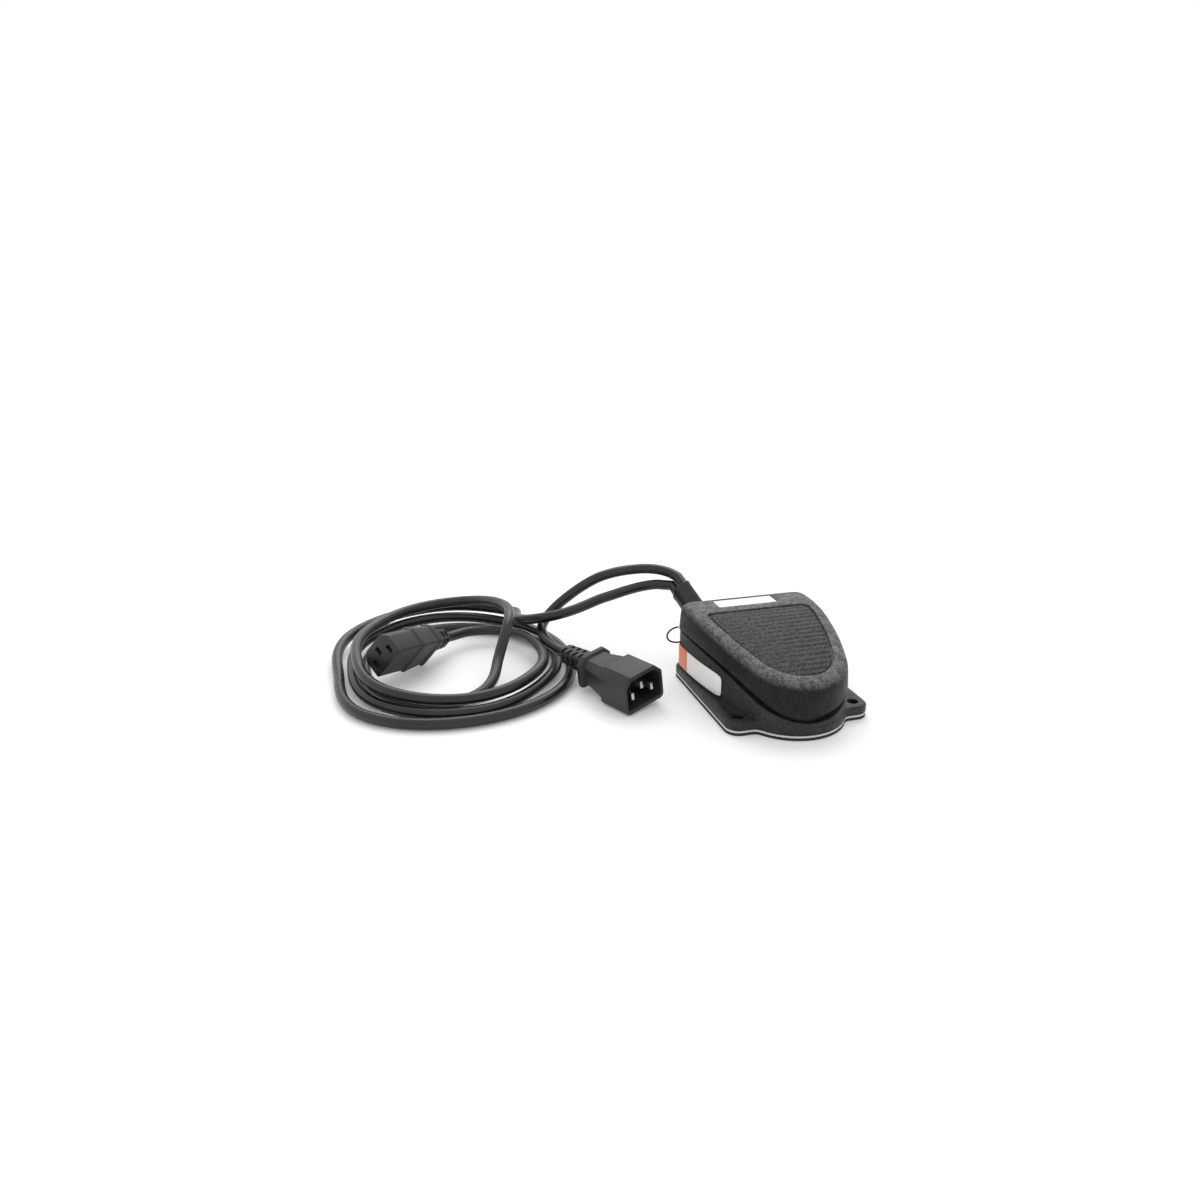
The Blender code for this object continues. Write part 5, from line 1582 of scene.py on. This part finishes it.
@dataclass
class StrainRelief:
    """A tapered strain relief, weakened by staggered slots in each of its four sides.

    Attributes:
        length: Its length.
        root: Its half width and half height at the plug.
        tip_radius: Its radius at the cord.
        tip_start: Share of its length at which its tip starts.
        tip_flare: How much wider it is there.
        tip_taper: How much narrower it is at its end.
        corner: Rounding of its corners.
        corner_steps: Steps of that rounding.
        edge: Rounding of its edges.
        slot_rows: Number of slots along each row.
        slot_lead: Pitches from its root to its first slot.
        slot_room: Pitches that its slots leave free.
        slot_length: Each slot's length along the relief.
        slot_width: Each slot's width.
        slot_depth: Each slot's depth.
        spine: Half width of the web between the two rows of a side.
    """

    length: float
    root: tuple[float, float] = (0.0059, 0.0055)
    tip_radius: float = 0.0043
    tip_start: float = 0.93
    tip_flare: float = 0.0003
    tip_taper: float = 0.0002
    corner: float = 0.0022
    corner_steps: int = 5
    edge: float = 0.00022
    slot_rows: int = 4
    slot_lead: float = 0.75
    slot_room: float = 0.9
    slot_length: float = 0.0021
    slot_width: float = 0.0040
    slot_depth: float = 0.0016
    spine: float = 0.0006

    def cutters(self, name: str) -> bpy.types.Object:
        """Every slot, as one piece to cut with.

        Args:
            name: The relief's name.

        Returns:
            The blocks that the slots are cut with, joined.
        """
        pitch = self.length / (self.slot_rows + self.slot_room)
        flat_size = (self.slot_width, 2 * self.slot_depth, self.slot_length)
        side_size = (2 * self.slot_depth, self.slot_width, self.slot_length)
        slots = []
        for i in range(2 * self.slot_rows):
            z = pitch * (self.slot_lead + i / 2)
            share = z / self.length
            wide, high = (half + (self.tip_radius - half) * share for half in self.root)
            across = (1 if i % 2 else -1) * (self.spine + self.slot_width / 2)
            for side in (-1, 1):
                slots.append(Bench.block(f"{name}_slot", (across, side * high, z), flat_size))
                if i % 2:
                    slots.append(Bench.block(f"{name}_slot", (side * wide, 0.0, z), side_size))
        Bench.join(slots[0], slots[1:])
        return slots[0]

    def model(self, name: str, start: float) -> bpy.types.Object:
        """Model it along +Z.

        Args:
            name: Its name.
            start: Where it starts.

        Returns:
            The relief, in its plug's frame.
        """
        wide, high = self.root
        piece = Bench.sheet(name, wide, high)
        Bench.pick(piece, "VERT", lambda co: True)
        bpy.ops.mesh.bevel(offset=self.corner, segments=self.corner_steps, affect="VERTICES")
        bpy.ops.object.mode_set(mode="OBJECT")
        flared, tapered = self.tip_radius + self.tip_flare, self.tip_radius - self.tip_taper
        Bench.climb(piece, ((0.0, wide, high), (self.tip_start * self.length, flared, flared),
                            (self.length, tapered, tapered)))
        Bench.carve(piece, self.cutters(name))
        Bench.soften(piece, self.edge, segments=2, angle=ROUND_CREASE)
        Bench.place(piece, Matrix.Translation((0.0, 0.0, start)))
        return piece


@dataclass
class Moulding:
    """What a plug's and a socket's moulded bodies share.

    Attributes:
        face: The middle of its face.
        axis: Direction from its face to its cord.
        up: Direction that its earth side leans to.
        roll: Its turn about its axis.
        half_width: Half width of its face.
        half_height: Half height of its face.
        chamfer: Chamfer of its two earth-side corners.
        corner: Rounding of its other corners.
        edge: Rounding of its edges.
        stations: Height, half width and half height of each step of its body.
        relief_start: Where its strain relief starts.
        relief_length: Its strain relief's length.
        corner_steps: Steps of its corners' rounding.
        pitch: Distance from line to neutral.
        earth_offset: Earth's distance from their row.
    """

    face: Place
    axis: Place
    up: Place
    roll: float
    half_width: float
    half_height: float
    chamfer: float
    corner: float
    edge: float
    stations: tuple[Station, ...]
    relief_start: float
    relief_length: float
    corner_steps: int = 4
    pitch: float = 0.0140
    earth_offset: float = 0.0040

    @property
    def frame(self) -> Matrix:
        """Its frame: +Z from its face to its cord, +Y to its earth side."""
        turn = Matrix.Rotation(self.roll, 4, "Z")
        return frame_at(Vector(self.face), Vector(self.axis), Vector(self.up)) @ turn

    @property
    def contacts(self) -> tuple[tuple[str, float, float], ...]:
        """The places of line, neutral and earth on its face.

        Returns:
            The name, X and Y of each.
        """
        row = -self.earth_offset / 2
        return (("line", -self.pitch / 2, row), ("neutral", self.pitch / 2, row),
                ("earth", 0.0, self.earth_offset / 2))

    def cord_end(self, diameter: float) -> list[Vector]:
        """The cord's last two points, straight into the strain relief."""
        end = self.relief_start + self.relief_length + SEAM
        return [self.frame @ Vector((0, 0, end + diameter)), self.frame @ Vector((0, 0, end))]

    def shell(self, name: str) -> bpy.types.Object:
        """Its body, from a flat outline pulled up through its stations.

        Args:
            name: The body's name.

        Returns:
            The body, with its edges still sharp.
        """
        piece = Bench.sheet(name, self.half_width, self.half_height)
        Bench.pick(piece, "VERT", lambda co: co.y > 0)
        bpy.ops.mesh.bevel(offset=self.chamfer, segments=1, affect="VERTICES")
        Bench.pick(piece, "VERT", lambda co: co.y < 0)
        bpy.ops.mesh.bevel(offset=self.corner, segments=self.corner_steps, affect="VERTICES")
        bpy.ops.object.mode_set(mode="OBJECT")
        Bench.climb(piece, ((0.0, self.half_width, self.half_height), *self.stations))
        return piece

    def dressed(self, fitter: Fitter, body: bpy.types.Object, node: str,
                relief_name: str) -> list[bpy.types.Object]:
        """Put the body and a new strain relief in their places.

        Args:
            fitter: What fits them.
            body: The finished body.
            node: The frame's node that the body stands for.
            relief_name: The strain relief's name.

        Returns:
            Both pieces.
        """
        relief = StrainRelief(self.relief_length).model(relief_name, self.relief_start)
        for piece, nodes in ((body, (node,)), (relief, ())):
            Bench.place(piece, self.frame)
            fitter.fit(piece, fitter.finishes.moulding, Slot.VINYL, Body.BASE, *nodes)
        return [body, relief]


@dataclass
class SupplyPlug(Moulding):
    """The shrouded plug with its three blades.

    Attributes:
        cavity: Half width, half height and depth of its cavity.
        blade: Width and height of a blade.
        blade_setback: How far the blades' tips lie behind its face.
        blade_root: How far they reach into the cavity's floor.
        blade_edge: Rounding of their edges.
    """

    face: Place = (-0.0723, 0.0063, 0.0127)
    axis: Place = (-0.428, 0.904, 0.0)
    up: Place = (0.0, 0.0, 1.0)
    roll: float = radians(-8)
    half_width: float = 0.01375
    half_height: float = 0.01075
    chamfer: float = 0.0050
    corner: float = 0.0028
    edge: float = 0.0006
    stations: tuple[Station, ...] = (
        (0.0205, 0.01375, 0.01075), (0.0220, 0.0125, 0.0090), (0.0270, 0.0116, 0.0083),
        (0.0330, 0.0101, 0.0076), (0.0381, 0.0096, 0.0075), (0.0385, 0.0106, 0.0082),
        (0.0390, 0.0114, 0.0089), (0.0398, 0.01175, 0.00925), (0.0412, 0.01175, 0.00925),
        (0.0420, 0.0114, 0.0089), (0.0425, 0.0106, 0.0082),
    )
    relief_start: float = 0.0422
    relief_length: float = 0.0235
    cavity: Place = (0.01215, 0.0084, 0.0165)
    blade: tuple[float, float] = (0.0020, 0.0040)
    blade_setback: float = 0.0015
    blade_root: float = 0.0040
    blade_edge: float = 0.00035

    def make(self, fitter: Fitter) -> list[bpy.types.Object]:
        """Make the plug.

        Args:
            fitter: What fits its pieces.

        Returns:
            Its pieces.
        """
        body = self.shell("plug_shell")
        wide, high, depth = self.cavity
        wall = self.half_width - wide
        Bench.pick(body, "FACE", lambda centre, normal: abs(centre.z) < SEAM and normal.z < 0)
        bpy.ops.mesh.inset(thickness=wall)
        stretch = high / (self.half_height - wall)
        bpy.ops.transform.resize(value=(1.0, stretch, 1.0), center_override=(0, 0, 0))
        Bench.pull(depth)
        bpy.ops.object.mode_set(mode="OBJECT")
        Bench.soften(body, self.edge)
        pieces = self.dressed(fitter, body, "plug_body", "plug_relief")
        length = depth + self.blade_root - self.blade_setback
        middle = self.blade_setback + length / 2
        for kind, x, y in self.contacts:
            blade = Bench.block(f"plug_blade_{kind}", (x, y, middle), (*self.blade, length))
            Bench.soften(blade, self.blade_edge)
            Bench.place(blade, self.frame)
            fitter.fit(blade, fitter.finishes.brass, Slot.BRASS, Body.BASE, f"plug_pin_{kind}")
            pieces.append(blade)
        return pieces


@dataclass
class LoadSocket(Moulding):
    """The socket with its three slots and the contacts in them.

    Attributes:
        slot: Width, height and depth of a slot.
        contact_edge: Rounding of the contacts' edges.
    """

    face: Place = (-0.2045, 0.0746, 0.0209)
    axis: Place = (0.716, 0.675, -0.175)
    up: Place = (-0.455, 0.642, 0.617)
    roll: float = 0.0
    half_width: float = 0.01175
    half_height: float = 0.0080
    chamfer: float = 0.0045
    corner: float = 0.0012
    edge: float = 0.0007
    stations: tuple[Station, ...] = (
        (0.0190, 0.01175, 0.0080), (0.0205, 0.0128, 0.0090), (0.0260, 0.0122, 0.0085),
        (0.0351, 0.0110, 0.0078), (0.0355, 0.0114, 0.0081), (0.0362, 0.0118, 0.0085),
        (0.0372, 0.0119, 0.0086), (0.0383, 0.0118, 0.0085), (0.0395, 0.0114, 0.0081),
    )
    relief_start: float = 0.0392
    relief_length: float = 0.0168
    slot: Place = (0.0026, 0.0048, 0.0120)
    contact_edge: float = 0.0001

    def make(self, fitter: Fitter) -> list[bpy.types.Object]:
        """Make the socket.

        Args:
            fitter: What fits its pieces.

        Returns:
            Its pieces.
        """
        body = self.shell("socket_shell")
        Bench.soften(body, self.edge)
        depth = self.slot[2]
        for _, x, y in self.contacts:
            Bench.carve(body, Bench.block("slot", (x, y, depth / 2 - SEAM), self.slot))
        Bench.smooth(body)
        pieces = self.dressed(fitter, body, "socket_body", "socket_relief")
        for kind, _, _ in self.contacts:
            pieces.append(fitter.finished(f"socket_contact_{kind}", f"socket_spring_{kind}",
                                          fitter.finishes.brass, Slot.BRASS, self.contact_edge))
        return pieces


@dataclass
class Cords:
    """The supply cord to the plug and the load cord, through its coil, to the socket.

    Attributes:
        sleeve: The sleeve that both leave.
        plug: The supply cord's plug.
        socket: The load cord's socket.
        diameter: Their diameter.
        step: Distance between points along them.
        coil_centre: Middle of the coil.
        coil_start: Where its first loop starts, in degrees.
        coil_end: Where its last loop ends, in degrees.
        points_per_loop: Points round each loop.
        station_turn: Degrees from station to station of the coil.
        supply_route: Places that the supply cord passes.
        load_route: Places that the load cord passes on its way to the coil.
        coil_reach: The coil's distance from its middle, loop by loop, at each station.
        coil_height: Its height at each station.
    """

    sleeve: Sleeve
    plug: SupplyPlug
    socket: LoadSocket
    diameter: float = 0.0063
    step: float = 0.0025
    coil_centre: tuple[float, float] = (-0.1610, 0.0890)
    coil_start: float = 46.0
    coil_end: float = 4 * 360 + 70.0
    points_per_loop: int = 72
    station_turn: float = 45.0
    supply_route: tuple[Place, ...] = (
        (-0.0253, 0.0946, 0.0449), (-0.0303, 0.1003, 0.0458), (-0.0380, 0.1045, 0.0462),
        (-0.0475, 0.1063, 0.0459), (-0.0575, 0.1072, 0.0449), (-0.0675, 0.1082, 0.0424),
        (-0.0775, 0.1102, 0.0370), (-0.0860, 0.1124, 0.0306), (-0.0940, 0.1134, 0.0240),
        (-0.1010, 0.1108, 0.0184), (-0.1056, 0.1042, 0.0149), (-0.1070, 0.0955, 0.0132),
        (-0.1064, 0.0860, 0.0127),
    )
    load_route: tuple[Place, ...] = (
        (-0.0282, 0.0950, 0.0376), (-0.0338, 0.0986, 0.0374), (-0.0420, 0.1002, 0.0365),
        (-0.0515, 0.0998, 0.0352), (-0.0610, 0.0992, 0.0333), (-0.0710, 0.0985, 0.0312),
        (-0.0800, 0.0976, 0.0286), (-0.0895, 0.0970, 0.0262), (-0.0985, 0.0982, 0.0240),
        (-0.1070, 0.1023, 0.0216), (-0.1134, 0.1103, 0.0184), (-0.1166, 0.1210, 0.0155),
    )
    coil_reach: tuple[tuple[float, ...], ...] = (
        (0.058, 0.066, 0.077, 0.078, 0.067, 0.078, 0.0755, 0.0715),
        (0.066, 0.067, 0.068, 0.065, 0.059, 0.066, 0.0685, 0.060),
        (0.059, 0.057, 0.0555, 0.055, 0.052, 0.0535, 0.0495, 0.030),
        (0.032, 0.0465, 0.070, 0.062, 0.0565, 0.0625, 0.0625, 0.057),
        (0.0475, 0.046, 0.0265, 0.005),
    )
    coil_height: tuple[tuple[float, ...], ...] = (
        (0.0210, 0.0140, 0.0115, 0.0080, 0.0040, 0.0034, 0.0034, 0.0034),
        (0.0034, 0.0050, 0.0075, 0.0070, 0.0060, 0.0045, 0.0050, 0.0048),
        (0.0034, 0.0036, 0.0045, 0.0038, 0.0036, 0.0036, 0.0038, 0.0120),
        (0.0270, 0.0265, 0.0165, 0.0150, 0.0150, 0.0120, 0.0100, 0.0120),
        (0.0115, 0.0085, 0.0100, 0.0090),
    )

    @staticmethod
    def blended(values: Sequence[float], t: float) -> float:
        """A smooth value between the middle two of four.

        Args:
            values: The four values.
            t: 0 at the second and 1 at the third.

        Returns:
            The value.
        """
        a, b, c, d = values
        return 0.5 * (2 * b + (c - a) * t + (2 * a - 5 * b + 4 * c - d) * t ** 2
                      + (3 * b - a - 3 * c + d) * t ** 3)

    def coil(self) -> list[Vector]:
        """The coil's points, from its reach and height at each station.

        Returns:
            Its centreline.
        """
        stations = [pair for reach, height in zip(self.coil_reach, self.coil_height)
                    for pair in zip(reach, height)]
        sweep = self.coil_end - self.coil_start
        count = round(sweep / 360 * self.points_per_loop)
        x, y = self.coil_centre
        points = []
        for k in range(count + 1):
            turn = self.coil_start + sweep * k / count
            i = int(turn // self.station_turn)
            near = [stations[min(max(j, 0), len(stations) - 1)] for j in range(i - 1, i + 3)]
            share = turn / self.station_turn - i
            reach, height = (self.blended(values, share) for values in zip(*near))
            points.append(Vector((x + reach * cos(radians(turn)),
                                  y + reach * sin(radians(turn)), height)))
        return points

    def make(self, fitter: Fitter, plug_pieces: list[bpy.types.Object],
             socket_pieces: list[bpy.types.Object]) -> None:
        """Make both cords.

        Args:
            fitter: What fits them.
            plug_pieces: The pieces at the supply cord's end.
            socket_pieces: The pieces at the load cord's end.
        """
        mouth = self.sleeve.mouth(1, self.diameter)
        end = self.plug.cord_end(self.diameter)
        points = [mouth[0], *smooth_route([mouth[1], *self.supply_route, end[0]], self.step),
                  end[1]]
        self.lay("supply_lead", points, "plug", "loose", plug_pieces, fitter, "supply_cord")

        mouth = self.sleeve.mouth(-1, self.diameter)
        coil = self.coil()
        run = smooth_route([mouth[1], *self.load_route, coil[0]], self.step)[:-1]
        last = self.socket.cord_end(self.diameter)
        join = smooth_route([coil[-2], coil[-1], *last], self.step)[1:]
        points = [mouth[0], *run, *coil[:-1], *join]
        self.lay("load_lead", points, "connector", "coiled", socket_pieces, fitter,
                 "load_cord_run", "load_cord_coil")

    def lay(self, name: str, points: list[Vector], far_end: str, how: str,
            pieces: list[bpy.types.Object], fitter: Fitter, *nodes: str) -> None:
        """Args:
            name: Its name.
            points: Its centreline.
            far_end: What is at its end; not used.
            how: How it lies; not used.
            pieces: The pieces at its end; not used.
            fitter: What fits it.
            *nodes: The frame's nodes that it stands for.
        """
        cord = round_cord(name, points, self.diameter)
        fitter.fit(cord, fitter.finishes.cord, Slot.VINYL, Body.BASE, *nodes)
        line_length(points)


# ---------------------------------------------------------------------------------------------
# Studio
# ---------------------------------------------------------------------------------------------

@dataclass
class Studio:
    """The floor, the light and the camera.

    Attributes:
        camera_place: Where the camera stands.
        camera_heading: Its direction over the floor.
        camera_pitch: How far it looks down.
        lens: Its focal length in millimetres.
        sensor: Its sensor's width in millimetres.
        nearest: Distance from which on it sees.
        key_from: Where the overhead light comes from.
        key_strength: Its strength.
        key_angle: How wide it is.
        room: Light from the room's front, where the backdrop's is 1.
        room_lean: Share of the directions' Y and Z in where the backdrop starts.
        room_edge: Lean at which the backdrop starts and at which it is full.
        floor_colour: The floor's colour.
        floor_lift: Light added to the floor for the camera alone.
        floor_size: The floor's length and width.
        floor_drop: How far it lies below the pad.
    """

    camera_place: Place = (-0.23007, -0.45303, 0.23986)
    camera_heading: tuple[float, float] = (0.2785, 0.9605)
    camera_pitch: float = radians(20)
    lens: float = 30.0
    sensor: float = 36.0
    nearest: float = 0.02
    key_from: Place = (0.22, 0.60, 0.77)
    key_strength: float = 1.05
    key_angle: float = radians(50)
    room: float = 0.50
    room_lean: tuple[float, float] = (0.55, 0.83)
    room_edge: tuple[float, float] = (-0.30, 0.60)
    floor_colour: Colour = (0.90, 0.91, 0.90)
    floor_lift: float = 0.12
    floor_size: float = 60.0
    floor_drop: float = 0.0002

    def camera(self) -> None:
        """Set up the camera."""
        x, y = self.camera_heading
        heading = Vector((x, y, 0.0)).normalized() * cos(self.camera_pitch)
        direction = heading - UP * sin(self.camera_pitch)
        bpy.ops.object.camera_add(location=self.camera_place)
        camera = bpy.context.object
        camera.rotation_euler = direction.to_track_quat("-Z", "Y").to_euler()
        camera.data.lens = self.lens
        camera.data.sensor_width = self.sensor
        camera.data.clip_start = self.nearest
        bpy.context.scene.camera = camera

    def key(self) -> None:
        """Set up the wide, soft overhead light."""
        bpy.ops.object.light_add(type="SUN", location=self.key_from)
        lamp = bpy.context.object
        lamp.name = "overhead"
        lamp.data.energy = self.key_strength
        lamp.data.angle = self.key_angle
        lamp.rotation_euler = (-Vector(self.key_from)).to_track_quat("-Z", "Y").to_euler()

    def world(self) -> None:
        """A white sweep above and behind, and a dimmer room in front of it."""
        world = bpy.data.worlds.new("studio_light")
        bpy.context.scene.world = world
        world.use_nodes = True
        look = Nodes.emptied(world.node_tree)
        way = look.node("ShaderNodeSeparateXYZ", None,
                        {0: look.node("ShaderNodeTexCoord").outputs["Generated"]})
        lean = (Signal(look, way.outputs["Y"]) * self.room_lean[0]
                + Signal(look, way.outputs["Z"]) * self.room_lean[1])
        start, full = self.room_edge
        sweep = lean.over(start, full - start) * (1.0 - self.room) + self.room
        values = {"Color": (1.0, 1.0, 1.0, 1.0), "Strength": sweep.highest(look.seen())}
        light = look.node("ShaderNodeBackground", None, values)
        output = look.node("ShaderNodeOutputWorld")
        look.feed(output.inputs[0], light.outputs[0])

    def floor(self) -> None:
        """The pale floor."""
        bpy.ops.object.select_all(action="DESELECT")
        bpy.ops.mesh.primitive_plane_add(size=self.floor_size,
                                         location=(0.0, 0.0, -self.floor_drop))
        floor = Bench.added("studio_floor")
        material = bpy.data.materials.new("studio_floor")
        material.use_nodes = True
        look = Nodes.emptied(material.node_tree)
        paper = look.node("ShaderNodeBsdfDiffuse", None, {0: (*self.floor_colour, 1.0)})
        lift = look.node("ShaderNodeEmission", None, {"Strength": look.seen() * self.floor_lift})
        both = look.node("ShaderNodeAddShader", None, {0: paper.outputs[0], 1: lift.outputs[0]})
        output = look.node("ShaderNodeOutputMaterial")
        look.feed(output.inputs[0], both.outputs[0])
        floor.data.materials.append(material)

    def make(self) -> None:
        """Set up the camera, the light and the floor."""
        bpy.context.scene.view_settings.view_transform = "Standard"
        self.camera()
        self.key()
        self.world()
        self.floor()


# ---------------------------------------------------------------------------------------------
# The whole object
# ---------------------------------------------------------------------------------------------


def main() -> None:
    """Load the frame, build every sub-assembly in order and light it."""
    logging.basicConfig(level=logging.INFO, format="%(name)s: %(message)s")
    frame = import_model()
    Studio().make()

    fitter = Fitter(frame, Finishes())
    sleeve, plug, socket = Sleeve(), SupplyPlug(), LoadSocket()
    plug_pieces = plug.make(fitter)
    socket_pieces = socket.make(fitter)
    Cords(sleeve, plug, socket).make(fitter, plug_pieces, socket_pieces)
    for assembly in (sleeve, BondingLoop(), Castings(), Labels(), Hinge(), SwitchGear(),
                     InnerWiring()):
        assembly.make(fitter)


if __name__ == "__main__":
    main()
